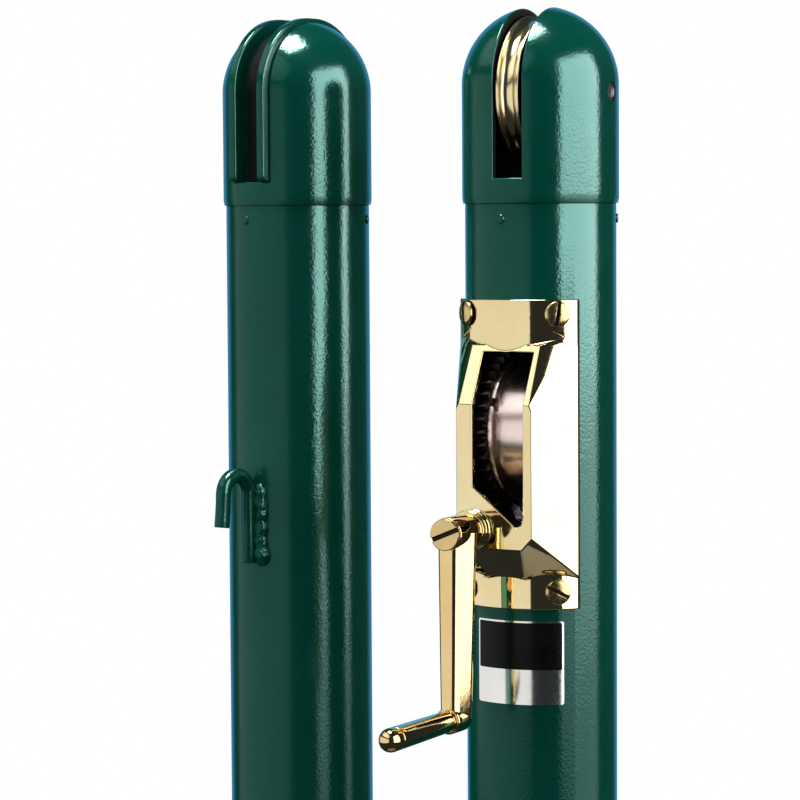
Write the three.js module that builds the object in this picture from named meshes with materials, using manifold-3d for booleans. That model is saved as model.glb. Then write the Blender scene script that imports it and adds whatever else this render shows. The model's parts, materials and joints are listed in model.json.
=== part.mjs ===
// A pair of round tennis net posts: a winding post with a brass worm winder, and an anchor post
// with a cable guide and a hook. Millimetres, +Z up, the court ends of both posts at z = 0.
// The winder faces -Y. "Reach" is a distance in front of a post's axis, so it lies along -Y, and
// "side" is a distance to the right of it, along +X.
import * as THREE from "three";
import { mergeVertices } from "three/addons/utils/BufferGeometryUtils.js";
import { ConvexGeometry } from "three/addons/geometries/ConvexGeometry.js";
import Module from "manifold-3d";

const wasm = await Module();
wasm.setup();

// Heights
const cableHeight = 1070; // the net cable at the post, above the court
const buriedLength = 350; // the length of post that stands in a ground socket
const cableRadius = 3;

// Posts
const tubeRadius = 38.1;
const tubeWall = 3.2;
const footThickness = 4;
const footPlugDepth = 20;
const anchorSide = 153; // from the winding post's axis to the anchor post's, to the left
const anchorSetback = 20; // and to the rear
const anchorTurn = THREE.MathUtils.degToRad(-10);

// Clearances
const gap = 0.3; // between pieces that touch
const runningGap = 0.4; // round a piece that turns
const overrun = 10; // how far a cutting shape passes the surface that it cuts

// Caps
const capOverhang = 1.4;
const capWall = 4;
const capSkirt = 60.3;
const spigotDepth = 24;
const spigotWall = 4;
const slotSill = 12.5; // from the cap's rim up to the lower end of its slot
const slotWidth = 15.8;
const capScrewDrop = 7.7;
const capScrewRadius = 2.4;
const capScrewHead = 1;
const capScrewLength = 9;
const capScrewCount = 3;
const capScrewTurn = THREE.MathUtils.degToRad(-6);

// Pulley
const pulleyRise = 55;
const pulleySetback = 0.8; // from the cap's outside to the pulley's rim
const pulleyWidth = 12;
const grooveDepth = 4;
const pulleyFlangeEdge = 1.4;
const pulleyRimDepth = 11;
const pulleyWeb = 5;
const pulleyHubRadius = 11;
const axleRadius = 4.5;
const axleEndRecess = 0.8;
const axleEndRim = 1.2;
const bushWall = 1.6;
const spacerWall = 2.2;

// Winder housing
const housingDrop = 47.5; // from the cap's rim down to the housing's upper edge
const flangeThickness = 2.9;
const flangeHalfAngle = THREE.MathUtils.degToRad(53.2);
const upperBand = 22.5;
const rampHeight = 28.8;
const ridgeDrop = 2.8; // the ridge starts this far below the crest
const faceHeight = 71.2;
const ridgeFoot = 6; // the ridge ends this far above the face's lower edge
const undersideHeight = 15.7;
const lowerBand = 15.3;
const housingWall = 3.5;
const faceHalfWidth = 20.6;
const crestHalfWidth = 19;
const lipHalfWidth = 15;
const rampHalfWidth = 18.4; // at the ramp's upper edge
const rampInset = 1.3; // from the flange's front in to the ramp's upper edge
const undersideFlat = 10;
const shoulderSide = 27.5;
const shoulderProud = 3;
const shoulderRise = 4;
const windowLeft = 11.9;
const windowRight = 15.7;
const windowDrop = 3.3; // from the upper band to the window's upper edge
const windowHeight = 65.9; // down the window's left side
const windowSlant = 18; // how much lower the slanted edge ends
const windowSlantEnd = 10;
const windowCorner = 4;
const windowCornerCut = 1.6;
const cutoutSide = 29.5;
const cutoutMargin = 3.6; // how far above the ramp, and above the lower band, the tube's opening ends
const lugInside = 24.5;
const lugThickness = 3.5;
const lugRear = 18;
const lugFront = 46;
const lugAbove = 16;
const lugCorner = 14;
const webThickness = 6;
const webMargin = 3;
const bossRadius = 14;
const bossRingRadius = 10;
const bossRingHeight = 3.4;

// Housing screws
const screwHeadRadius = 6.3;
const screwHeadHeight = 2.6;
const screwHeadEdge = 0.7;
const screwShankRadius = 2.6;
const screwShankLength = 9;
const screwSlotWidth = 1.4;
const screwSlotDepth = 1.3;
const screwAngle = THREE.MathUtils.degToRad(36.5);
const upperScrewDrop = 7.1;
const lowerScrewRise = 9;
const screwSlotTurns = [
  [4, -8],
  [-28, 62],
].map((row) => row.map(THREE.MathUtils.degToRad));

// Worm gear
const gearModule = 2;
const wheelTeeth = 38;
const wheelWidth = 8.5;
const wormPitchRadius = 9.5;
const gearClearance = 0.4;
const gearBacklash = 0.45;
const pressureAngle = THREE.MathUtils.degToRad(20);
const wormLength = 31;
const wormHubLength = 6;
const wormHubRadius = 9;
const wormPinRadius = 1.5;
const gearSide = -12.2; // the worm's axis and the wheel's middle plane
const wheelReach = 9.9;

// Drum
const drumRadius = 31;
const drumFlangeRadius = 36.5;
const drumFlange = 2.6;
const drumRight = 18.5;
const drumHubRadius = 13;
const spindleRadius = 6;
const spindleOverhang = 2.5;
const clipThickness = 1.2;
const clipRim = 2.6;
const cableNotchRadius = 3.5;
const cableNotchAngle = THREE.MathUtils.degToRad(24);

// Crank
const crankDrop = 61.7; // from the housing's crest down to the crank's axis
const shaftRadius = 6;
const journalRadius = 5;
const squareHalf = 4;
const frontBushWall = 1.9;
const bushFlangeRadius = 9.5;
const bushFlange = 2.2;
const armHubRadius = 8.2;
const armDepth = 16.2;
const armHubLength = 4.8; // how far the arm's hub stands behind its blade
const armLength = 91.5;
const armTopHalf = 5; // at the blade's front corners
const armBottomHalf = 3.6;
const armTopFlare = 3; // how much wider the blade is at the rear, on each side
const armBottomFlare = 0.8;
const armBottomDepth = 14.6;
const armEdge = 2;
const armEyeRadius = 6.6;
const crankScrewRadius = 7.75;
const crankScrewHead = 2.2;
const crankScrewEdge = 0.8;
const crankScrewShank = 2.5;
const crankScrewDepth = 14;
const crankScrewSlot = 1.9;
const crankScrewSlotTurn = THREE.MathUtils.degToRad(22);
const gripRadius = 5.8;
const gripRearRadius = 5.3;
const gripLength = 54;
const gripSpindleRadius = 3.6;
const gripEndLength = 9;

// Blank plate below the winder
const plateWidth = 46.6;
const plateHeight = 41.8;
const plateThickness = 0.6;
const plateDrop = 6;
const plateTurn = THREE.MathUtils.degToRad(6.7);

// Anchor post's cable guide and hook
const guideChannel = 14.2;
const guideWall = 5;
const guideProud = 2.6;
const guideFloorDepth = 7; // from the cap's outside in to the floor of the channel
const guideFloor = 3.5;
const guideLipEnd = 3;
const hookBarRadius = 4;
const hookSpread = 19.5; // between the middles of the hook's two legs
const hookDrop = 137;
const hookOuterLeg = 16.8;
const hookInnerLeg = 37;
const hookSplay = 1.5; // how far the outer leg's end leans out
const weldCount = 6;
const weldMiddle = 5.1; // from the middle of the hook's inner leg to the weld's
const weldSideRadius = 5.8;
const weldProudRadius = 4.6;
const weldShares = [0.86, 1, 0.8, 0.94, 0.82, 1.02];

// Sides of the round pieces
const tubeSides = 48;
const capSides = 40;
const domeSteps = 6;
const wheelSides = 36;
const boreSides = 20;
const smallSides = 12;
const barSides = 12;
const wormSteps = 12;

// Levels and places that follow from the sizes
const capRadius = tubeRadius + capOverhang;
const boreRadius = tubeRadius - tubeWall;
const pulleyRadius = capRadius - pulleySetback;
const cableOverRim = pulleyRise + pulleyRadius - grooveDepth + cableRadius;
const rimLevel = buriedLength + cableHeight - cableOverRim;
const housingTop = rimLevel - housingDrop;
const rampTop = housingTop - upperBand;
const crestLevel = rampTop - rampHeight;
const faceFoot = crestLevel - faceHeight;
const undersideFoot = faceFoot - undersideHeight;
const housingFoot = undersideFoot - lowerBand;
const crankLevel = crestLevel - crankDrop;
const wheelPitchRadius = (gearModule * wheelTeeth) / 2;
const wheelOuterRadius = wheelPitchRadius + gearModule;
const wormOuterRadius = wormPitchRadius + gearModule;
const wheelRootRadius = wheelPitchRadius - gearModule - gearClearance;
const wormRootRadius = wormPitchRadius - gearModule - gearClearance;
const wheelLevel = crankLevel + wheelPitchRadius + wormPitchRadius;
const wormPitch = Math.PI * gearModule;
const faceReach = wheelReach + wheelOuterRadius + 3 * runningGap + housingWall;
const flangeRadius = tubeRadius + gap + flangeThickness;
const wheelLeft = gearSide - wheelWidth / 2;
const wheelRight = gearSide + wheelWidth / 2;
const drumLeft = wheelRight + gap;
const wormRear = wheelReach - wormLength / 2;
const wormFront = wheelReach + wormLength / 2;
const wormHubFront = wormFront + wormHubLength;
const bossRear = wormHubFront + gap;
const ringReach = faceReach + bossRingHeight;
const bushFront = ringReach + gap + bushFlange;
const hubRear = bushFront + runningGap;
const armRear = hubRear + armHubLength;
const armFront = armRear + armDepth;
const webFront = wormRear - wormPitch;
const webRear = webFront - webThickness;
const handleLevel = crankLevel - armLength;
const spindleHalf = lugInside + lugThickness + spindleOverhang;

// Materials
const paint = { color: 0x11503d, roughness: 0.25, metalness: 0 };
const brass = { color: 0xd9bf7f, roughness: 0.18, metalness: 1 };
const steel = { color: 0xb9bcbd, roughness: 0.35, metalness: 1 };
const bronze = { color: 0xa9713f, roughness: 0.4, metalness: 1 };
const gunmetal = { color: 0xc9968a, roughness: 0.3, metalness: 1 };
const iron = { color: 0x26221e, roughness: 0.5, metalness: 1 };
const rubber = { color: 0x1c1d1c, roughness: 0.8, metalness: 0 };
const enamel = { color: 0x15181a, roughness: 0.4, metalness: 0 };

const post = new THREE.Group();
const anchorPost = new THREE.Group();
anchorPost.position.set(-anchorSide, anchorSetback, 0);
anchorPost.rotation.z = anchorTurn;
post.add(anchorPost);

// A named mesh in a group, from a geometry or a manifold solid.
function piece(group, name, shape, finish) {
  const geometry = shape.isBufferGeometry ? shape : geometryOf(shape);
  const mesh = new THREE.Mesh(geometry, new THREE.MeshStandardMaterial(finish));
  mesh.name = name;
  group.add(mesh);
  return mesh;
}

// A closed geometry as a manifold solid.
function solid(geometry) {
  const bare = new THREE.BufferGeometry();
  bare.setAttribute("position", geometry.getAttribute("position"));
  bare.setIndex(geometry.getIndex());
  const merged = mergeVertices(bare);
  const mesh = new wasm.Mesh({
    numProp: 3,
    vertProperties: merged.attributes.position.array,
    triVerts: new Uint32Array(merged.index.array),
  });
  return new wasm.Manifold(mesh);
}

// A manifold solid as a three.js geometry.
function geometryOf(shape) {
  const mesh = shape.getMesh();
  const geometry = new THREE.BufferGeometry();
  geometry.setAttribute("position", new THREE.BufferAttribute(mesh.vertProperties, 3));
  geometry.setIndex(new THREE.BufferAttribute(mesh.triVerts, 1));
  geometry.computeVertexNormals();
  return geometry;
}

function cutAll(shape, cutters) {
  return cutters.reduce((rest, cutter) => rest.subtract(cutter), shape);
}

function joinAll(shapes) {
  return shapes.reduce((whole, shape) => whole.add(shape));
}

// A box from its lowest to its highest side, reach and height.
function box([side0, side1], [reach0, reach1], [z0, z1]) {
  const shape = new THREE.BoxGeometry(side1 - side0, reach1 - reach0, z1 - z0);
  shape.translate((side0 + side1) / 2, -(reach0 + reach1) / 2, (z0 + z1) / 2);
  return solid(shape);
}

// The turning of a shape made round +Y, so that its height runs along another direction.
const spinAxes = {
  up: new THREE.Matrix4().makeRotationX(Math.PI / 2),
  side: new THREE.Matrix4().makeRotationZ(-Math.PI / 2),
  reach: new THREE.Matrix4().makeRotationX(Math.PI),
};

// A turned piece: the outline's points are [radius, height], in either order round it.
function turned(outline, direction, sides) {
  const area = outline.reduce((sum, [r, h], i) => {
    const [r1, h1] = outline[(i + 1) % outline.length];
    return sum + r * h1 - r1 * h;
  }, 0);
  const ordered = area > 0 ? [...outline] : [...outline].reverse();
  const onAxis = ordered.findIndex(([r], i) => r === 0 && ordered.at(i - 1)[0] === 0);
  const closed = [...ordered, ordered[0]];
  const points = onAxis < 0 ? closed : [...ordered.slice(onAxis), ...ordered.slice(0, onAxis)];
  const shape = new THREE.LatheGeometry(
    points.map(([r, h]) => new THREE.Vector2(r, h)),
    sides,
  );
  shape.applyMatrix4(spinAxes[direction]);
  return solid(shape);
}

// A solid cylinder whose axis passes through a place, between two heights along that axis.
function rod(radius, [low, high], direction, place, sides) {
  const outline = [
    [0, low],
    [radius, low],
    [radius, high],
    [0, high],
  ];
  return turned(outline, direction, sides).translate(place);
}

function ring(inner, outer, [low, high], direction, place, sides) {
  const outline = [
    [inner, low],
    [outer, low],
    [outer, high],
    [inner, high],
  ];
  return turned(outline, direction, sides).translate(place);
}

// A flat outline of [reach, height] points, as thick as the two sides say.
function plateAlongSide(points, [side0, side1]) {
  const shape = new THREE.Shape(points.map(([reach, z]) => new THREE.Vector2(-reach, z)));
  const geometry = new THREE.ExtrudeGeometry(shape, { depth: side1 - side0, bevelEnabled: false });
  geometry.applyMatrix4(
    new THREE.Matrix4().makeBasis(
      new THREE.Vector3(0, 1, 0),
      new THREE.Vector3(0, 0, 1),
      new THREE.Vector3(1, 0, 0),
    ),
  );
  geometry.translate(side0, 0, 0);
  return solid(geometry);
}

// A flat outline of [side, height] points, between two reaches.
function plateAlongReach(points, [reach0, reach1]) {
  const shape = new THREE.Shape(points.map(([side, z]) => new THREE.Vector2(side, z)));
  const geometry = new THREE.ExtrudeGeometry(shape, { depth: reach1 - reach0, bevelEnabled: false });
  geometry.applyMatrix4(
    new THREE.Matrix4().makeBasis(
      new THREE.Vector3(1, 0, 0),
      new THREE.Vector3(0, 0, 1),
      new THREE.Vector3(0, -1, 0),
    ),
  );
  geometry.translate(0, -reach0, 0);
  return solid(geometry);
}

// The convex solid round points given as [side, reach, height].
function hull(points) {
  return solid(new ConvexGeometry(points.map(([side, reach, z]) => new THREE.Vector3(side, -reach, z))));
}

// A point on a circle round the post, by its angle from straight ahead towards the right.
function around(radius, angle) {
  return [radius * Math.sin(angle), radius * Math.cos(angle)];
}

// A sector of a pipe round the post's axis, between two angles from straight ahead.
function pipeSector(inner, outer, [angle0, angle1], [z0, z1], steps) {
  const shape = new THREE.Shape();
  const arc = (radius, from, to) =>
    Array.from({ length: steps + 1 }, (_, i) => around(radius, from + ((to - from) * i) / steps));
  [...arc(outer, angle0, angle1), ...arc(inner, angle1, angle0)].forEach(([side, reach], i) =>
    i ? shape.lineTo(side, -reach) : shape.moveTo(side, -reach),
  );
  const geometry = new THREE.ExtrudeGeometry(shape, { depth: z1 - z0, bevelEnabled: false });
  geometry.translate(0, 0, z0);
  return solid(geometry);
}

// A solid swept through rings of [x, y, z] points, each ring with as many points as the first. Seen
// from where the sweep comes from, the points run anticlockwise.
function swept(rings) {
  const n = rings[0].length;
  const last = (rings.length - 1) * n;
  const faces = [];
  for (let i = 0; i < last; i += n) {
    for (let j = 0; j < n; j += 1) {
      const [a, b] = [i + j, i + ((j + 1) % n)];
      faces.push(a, b, a + n, b, b + n, a + n);
    }
  }
  for (let j = 1; j + 1 < n; j += 1) {
    faces.push(0, j + 1, j);
    faces.push(last, last + j, last + j + 1);
  }
  const geometry = new THREE.BufferGeometry();
  geometry.setAttribute("position", new THREE.Float32BufferAttribute(rings.flat(2), 3));
  geometry.setIndex(faces);
  return solid(geometry);
}

// Turns a piece made straight ahead to another angle round the post.
function swing(shape, angle) {
  return shape.rotate([0, 0, THREE.MathUtils.radToDeg(angle)]);
}

// A screw whose seat is at a height of zero and whose head rises along the direction.
function screw({ head, height, edge, shank, length, slot, slotDepth, slotTurn }, sides) {
  const outline = [
    [0, -length],
    [shank, -length],
    [shank, 0],
    [head, 0],
    [head, height - edge],
    [head - edge, height],
    [0, height],
  ];
  const body = turned(outline, "reach", sides);
  if (!slot) return body;
  const across = [-head - overrun, head + overrun];
  const groove = box(across, [height - slotDepth, height + overrun], [-slot / 2, slot / 2]);
  return body.subtract(groove.rotate([0, THREE.MathUtils.radToDeg(-slotTurn), 0]));
}

// The outline, as [reach, height] points, of an arch over a cap: two straight legs and two quarter
// circles, whose centres stand the spread in front of and behind the cap's axis.
function arch(radius, spread, [foot, spring]) {
  const steps = Array.from({ length: domeSteps + 1 }, (_, i) => (Math.PI * i) / (2 * domeSteps));
  const front = steps.map((angle) => [
    spread + radius * Math.cos(angle),
    spring + radius * Math.sin(angle),
  ]);
  const rear = [...front].reverse().map(([reach, z]) => [-reach, z]);
  const legs = spread + radius;
  return [[legs, foot], ...front, ...(spread ? rear : rear.slice(1)), [-legs, foot]];
}

// The tube of a post, from its foot to the cap's rim, with the holes for the cap's screws.
function postTube(cutters) {
  const body = ring(boreRadius, tubeRadius, [footThickness, rimLevel], "up", [0, 0, 0], tubeSides);
  return cutAll(body, [...capScrewPlaces().map((place) => capScrewHole(place)), ...cutters]);
}

// The foot that closes the lower end: a disc as wide as the tube, with a plug inside it.
function footPlug() {
  const outline = [
    [0, 0],
    [tubeRadius, 0],
    [tubeRadius, footThickness],
    [boreRadius - gap, footThickness],
    [boreRadius - gap, footThickness + footPlugDepth],
    [0, footThickness + footPlugDepth],
  ];
  return turned(outline, "up", tubeSides);
}

// The hollow domed cap, whose spigot stands in the tube.
function capShell() {
  const spring = rimLevel + capSkirt;
  const inner = capRadius - capWall;
  const quarter = (radius, i) => {
    const angle = (Math.PI * i) / (2 * domeSteps);
    return [radius * Math.cos(angle), spring + radius * Math.sin(angle)];
  };
  const steps = Array.from({ length: domeSteps }, (_, i) => i);
  const spigot = boreRadius - gap;
  const outline = [
    [spigot - spigotWall, rimLevel - spigotDepth],
    [spigot, rimLevel - spigotDepth],
    [spigot, rimLevel],
    [capRadius, rimLevel],
    ...steps.map((i) => quarter(capRadius, i)),
    [0, spring + capRadius],
    [0, spring + inner],
    ...steps.map((i) => quarter(inner, i)).reverse(),
    [inner, rimLevel + spigotWall],
    [spigot - spigotWall, rimLevel],
  ];
  return cutAll(turned(outline, "up", capSides), capScrewPlaces().map((place) => capScrewHole(place)));
}

// The angles of the small screws that hold the cap's spigot in the tube.
function capScrewPlaces() {
  return Array.from({ length: capScrewCount }, (_, i) => capScrewTurn + (2 * Math.PI * i) / capScrewCount);
}

function capScrewHole(angle) {
  const place = [0, 0, rimLevel - capScrewDrop];
  const hole = rod(
    capScrewRadius + gap,
    [tubeRadius - capScrewLength - gap, tubeRadius + overrun],
    "reach",
    place,
    smallSides,
  );
  return swing(hole, angle);
}

function capScrew(angle) {
  const outline = [
    [0, tubeRadius - capScrewLength],
    [capScrewRadius, tubeRadius - capScrewLength],
    [capScrewRadius, tubeRadius],
    [capScrewRadius - capScrewHead, tubeRadius + capScrewHead],
    [0, tubeRadius + capScrewHead],
  ];
  return swing(turned(outline, "reach", smallSides).translate([0, 0, rimLevel - capScrewDrop]), angle);
}

// A slot over the top of a cap, from front to back.
function capSlot(width, sill) {
  return box(
    [-width / 2, width / 2],
    [-capRadius - overrun, capRadius + overrun],
    [rimLevel + sill, rimLevel + capSkirt + capRadius + overrun],
  );
}

// The pieces that both posts have
function addPostPieces(group, label, { tubeCutters, cap }) {
  piece(group, `${label}_post_tube`, postTube(tubeCutters), paint);
  piece(group, `${label}_post_foot`, footPlug(), rubber);
  piece(group, `${label}_post_cap`, cap, paint);
  capScrewPlaces().forEach((angle, i) => {
    piece(group, `${label}_cap_screw_${i + 1}`, capScrew(angle), paint);
  });
}

// Winding post: tube, foot and slotted cap
const axleCentre = [0, 0, rimLevel + pulleyRise];
const axleHalf = Math.sqrt(capRadius ** 2 - axleRadius ** 2) - gap;

function tubeCutout() {
  const level = [undersideFoot + cutoutMargin, rampTop + cutoutMargin];
  return box([-cutoutSide, cutoutSide], [0, tubeRadius + overrun], level);
}

// The place of each housing screw: its angle, level and slot turn.
function housingScrewPlaces() {
  const levels = [housingTop - upperScrewDrop, housingFoot + lowerScrewRise];
  return levels.flatMap((level, row) =>
    [-screwAngle, screwAngle].map((angle, column) => ({
      angle,
      level,
      slotTurn: screwSlotTurns[row][column],
    })),
  );
}

function housingScrewHole({ angle, level }) {
  const hole = rod(
    screwShankRadius + gap,
    [boreRadius - overrun, flangeRadius + overrun],
    "reach",
    [0, 0, level],
    smallSides,
  );
  return swing(hole, angle);
}

const axleHole = rod(
  axleRadius + gap,
  [-capRadius - overrun, capRadius + overrun],
  "side",
  axleCentre,
  boreSides,
);
addPostPieces(post, "winding", {
  tubeCutters: [tubeCutout(), ...housingScrewPlaces().map(housingScrewHole)],
  cap: cutAll(capShell(), [capSlot(slotWidth, slotSill), axleHole]),
});

// Pulley, its bush, axle and spacers
function pulleyWheel() {
  const half = pulleyWidth / 2;
  const rimInside = pulleyRadius - pulleyRimDepth;
  const grooveHalf = half - pulleyFlangeEdge;
  const steps = 6;
  const groove = Array.from({ length: steps + 1 }, (_, i) => {
    const angle = (Math.PI * i) / steps;
    return [pulleyRadius - grooveDepth * Math.sin(angle), -grooveHalf * Math.cos(angle)];
  });
  const bore = axleRadius + runningGap + bushWall + gap;
  const outline = [
    [bore, -half],
    [pulleyHubRadius, -half],
    [pulleyHubRadius, -pulleyWeb / 2],
    [rimInside, -pulleyWeb / 2],
    [rimInside, -half],
    [pulleyRadius, -half],
    ...groove,
    [pulleyRadius, half],
    [rimInside, half],
    [rimInside, pulleyWeb / 2],
    [pulleyHubRadius, pulleyWeb / 2],
    [pulleyHubRadius, half],
    [bore, half],
  ];
  return turned(outline, "side", wheelSides).translate(axleCentre);
}

function pulleyAxle() {
  const inner = axleRadius - axleEndRim;
  const outline = [
    [0, -axleHalf + axleEndRecess],
    [inner, -axleHalf + axleEndRecess],
    [inner, -axleHalf],
    [axleRadius, -axleHalf],
    [axleRadius, axleHalf],
    [inner, axleHalf],
    [inner, axleHalf - axleEndRecess],
    [0, axleHalf - axleEndRecess],
  ];
  return turned(outline, "side", boreSides).translate(axleCentre);
}

piece(post, "pulley_wheel", pulleyWheel(), brass);
const pulleyBush = ring(
  axleRadius + runningGap,
  axleRadius + runningGap + bushWall,
  [-pulleyWidth / 2, pulleyWidth / 2],
  "side",
  axleCentre,
  boreSides,
);
piece(post, "pulley_bush", pulleyBush, bronze);
piece(post, "pulley_axle", pulleyAxle(), steel);
[-1, 1].forEach((hand) => {
  const outer = axleRadius + gap + spacerWall;
  const wallAt = Math.sqrt((capRadius - capWall) ** 2 - outer ** 2) - 2 * gap;
  const ends = [pulleyWidth / 2 + runningGap, wallAt].map((at) => at * hand).sort((p, q) => p - q);
  const spacer = ring(axleRadius + gap, outer, ends, "side", axleCentre, boreSides);
  piece(post, hand < 0 ? "axle_spacer_left" : "axle_spacer_right", spacer, steel);
});

// Winder housing
const drumCentre = [0, -wheelReach, wheelLevel];
const crankCentre = [gearSide, 0, crankLevel];

// The raised body in front of the tube, before it is hollowed.
function housingBlock() {
  const onFlange = (side, radius) => Math.sqrt(radius ** 2 - side ** 2);
  const [edgeSide, edgeReach] = around(flangeRadius, flangeHalfAngle);
  const points = [-1, 1].flatMap((hand) => [
    [hand * faceHalfWidth, faceReach, crestLevel - ridgeDrop],
    [hand * crestHalfWidth, faceReach, crestLevel],
    [hand * faceHalfWidth, faceReach, faceFoot + ridgeFoot],
    [hand * lipHalfWidth, faceReach, faceFoot],
    [hand * rampHalfWidth, flangeRadius - rampInset, rampTop],
    [hand * shoulderSide, onFlange(shoulderSide, flangeRadius) + shoulderProud, rampTop],
    [hand * shoulderSide, onFlange(shoulderSide, flangeRadius), rampTop + shoulderRise],
    [hand * edgeSide, edgeReach, rampTop],
    [hand * edgeSide, edgeReach, undersideFoot],
    [hand * undersideFlat, onFlange(undersideFlat, flangeRadius), undersideFoot],
  ]);
  return hull(points);
}

function housingHollow() {
  const front = faceReach - housingWall;
  const backSide = cutoutSide - gap;
  const rampReach = flangeRadius - rampInset - housingWall;
  const points = [-1, 1].flatMap((hand) => [
    [hand * (crestHalfWidth - housingWall / 2), front, crestLevel - housingWall / 2],
    [hand * (faceHalfWidth - housingWall / 2), front, crestLevel - housingWall],
    [hand * (faceHalfWidth - housingWall / 2), front, faceFoot + ridgeFoot],
    [hand * lipHalfWidth, front, faceFoot + housingWall / 2],
    [hand * (rampHalfWidth - housingWall / 2), rampReach, rampTop - housingWall / 2],
    [hand * backSide, 0, rampTop - housingWall],
    [hand * backSide, tubeRadius - tubeWall - housingWall, rampTop - 2 * housingWall],
    [hand * backSide, 0, undersideFoot + housingWall],
    [hand * backSide, tubeRadius - tubeWall - housingWall, undersideFoot + 2 * housingWall],
    [hand * lipHalfWidth, boreRadius, undersideFoot + housingWall],
  ]);
  return hull(points);
}

function housingWindow() {
  const top = rampTop - windowDrop;
  const foot = top - windowHeight - windowSlant;
  const outline = [
    [-windowLeft, top],
    [-windowLeft, top - windowHeight],
    [windowSlantEnd, foot],
    [windowRight - windowCorner, foot - windowCornerCut],
    [windowRight - windowCorner / 4, foot - windowCornerCut / 4],
    [windowRight, foot + windowCorner],
    [windowRight, top],
  ];
  return plateAlongReach(outline, [bossRear - overrun, faceReach + overrun]);
}

function winderHousing() {
  const flange = pipeSector(
    tubeRadius - tubeWall,
    flangeRadius,
    [-flangeHalfAngle, flangeHalfAngle],
    [housingFoot, housingTop],
    capSides / 2,
  );
  const overall = [housingFoot - overrun, housingTop + overrun];
  const seat = rod(tubeRadius + gap, overall, "up", [0, 0, 0], tubeSides);
  const shell = cutAll(housingBlock().add(flange), [seat, housingHollow()]);
  const within = housingBlock().add(rod(tubeRadius, [housingFoot, housingTop], "up", [0, 0, 0], tubeSides));
  const lug = (hand) =>
    plateAlongSide(
      [
        [lugFront, wheelLevel + lugAbove],
        [-lugRear + lugCorner, wheelLevel + lugAbove],
        [-lugRear, wheelLevel + lugAbove - lugCorner],
        [-lugRear, crankLevel - wormOuterRadius - webMargin],
        [lugFront, crankLevel - wormOuterRadius],
      ],
      [hand * lugInside, hand * (lugInside + lugThickness)].sort((p, q) => p - q),
    ).intersect(within);
  const web = box(
    [-lugInside - lugThickness / 2, lugInside + lugThickness / 2],
    [webRear, webFront],
    [crankLevel - wormOuterRadius - webMargin, crankLevel + wormOuterRadius],
  );
  const boss = rod(bossRadius, [bossRear, faceReach - housingWall / 2], "reach", crankCentre, boreSides);
  const bossBlock = box(
    [-faceHalfWidth - housingWall, gearSide],
    [bossRear, faceReach - housingWall / 2],
    [crankLevel - wormOuterRadius, crankLevel + wormOuterRadius],
  ).intersect(housingBlock());
  const collarEnds = [faceReach - housingWall / 2, ringReach];
  const collar = rod(bossRingRadius, collarEnds, "reach", crankCentre, boreSides);
  const whole = joinAll([shell, lug(-1), lug(1), web, boss.intersect(housingBlock()), bossBlock]);
  const spindleHole = rod(
    spindleRadius + gap,
    [-spindleHalf - overrun, spindleHalf + overrun],
    "side",
    drumCentre,
    boreSides,
  );
  const rearHole = rod(
    journalRadius + runningGap + frontBushWall + gap,
    [webRear - overrun, webFront + overrun],
    "reach",
    crankCentre,
    boreSides,
  );
  const frontHole = rod(
    shaftRadius + runningGap + frontBushWall + gap,
    [bossRear - overrun, ringReach + overrun],
    "reach",
    crankCentre,
    boreSides,
  );
  return cutAll(whole.subtract(housingWindow()).add(collar), [
    spindleHole,
    rearHole,
    frontHole,
    ...housingScrewPlaces().map(housingScrewHole),
  ]);
}

function housingScrew({ angle, level, slotTurn }) {
  const body = screw(
    {
      head: screwHeadRadius,
      height: screwHeadHeight,
      edge: screwHeadEdge,
      shank: screwShankRadius,
      length: screwShankLength,
      slot: screwSlotWidth,
      slotDepth: screwSlotDepth,
      slotTurn: Math.PI / 2 + slotTurn,
    },
    boreSides,
  );
  return swing(body.translate([0, -flangeRadius - gap, level]), angle);
}

piece(post, "winder_housing", winderHousing(), brass);
housingScrewPlaces().forEach((place, i) => {
  piece(post, `housing_screw_${i + 1}`, housingScrew(place), brass);
});

// Worm wheel, drum and spindle. The wheel's teeth lean as the worm's thread does.
function wormWheel() {
  const lead = Math.atan(wormPitch / (2 * Math.PI * wormPitchRadius));
  const halfThickness = wormPitch / 4 - gearBacklash / 2;
  const flank = Math.tan(pressureAngle);
  const tipHalf = (halfThickness - gearModule * flank) / wheelOuterRadius;
  const rootHalf = (halfThickness + (gearModule + gearClearance) * flank) / wheelRootRadius;
  const outline = Array.from({ length: wheelTeeth }, (_, i) => {
    const middle = -Math.PI / 2 + (2 * Math.PI * (i + 1 / 2)) / wheelTeeth;
    return [
      [wheelRootRadius, middle - rootHalf],
      [wheelOuterRadius, middle - tipHalf],
      [wheelOuterRadius, middle + tipHalf],
      [wheelRootRadius, middle + rootHalf],
    ];
  }).flat();
  const shape = new THREE.Shape(
    outline.map(([radius, angle]) => new THREE.Vector2(radius * Math.cos(angle), radius * Math.sin(angle))),
  );
  const geometry = new THREE.ExtrudeGeometry(shape, { depth: wheelWidth, steps: 2, bevelEnabled: false });
  const places = geometry.getAttribute("position");
  for (let i = 0; i < places.count; i += 1) {
    const along = places.getZ(i) - wheelWidth / 2;
    const lean = (-along * Math.tan(lead)) / wheelPitchRadius;
    const point = new THREE.Vector3(places.getX(i), places.getY(i), 0);
    point.applyAxisAngle(new THREE.Vector3(0, 0, 1), lean);
    places.setXYZ(i, point.x, point.y, places.getZ(i));
  }
  geometry.applyMatrix4(
    new THREE.Matrix4().makeBasis(
      new THREE.Vector3(0, 1, 0),
      new THREE.Vector3(0, 0, 1),
      new THREE.Vector3(1, 0, 0),
    ),
  );
  geometry.translate(wheelLeft, -wheelReach, wheelLevel);
  const hub = rod(drumHubRadius, [-lugInside + runningGap, gearSide], "side", drumCentre, boreSides);
  return solid(geometry).add(hub).subtract(drumBore());
}

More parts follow.
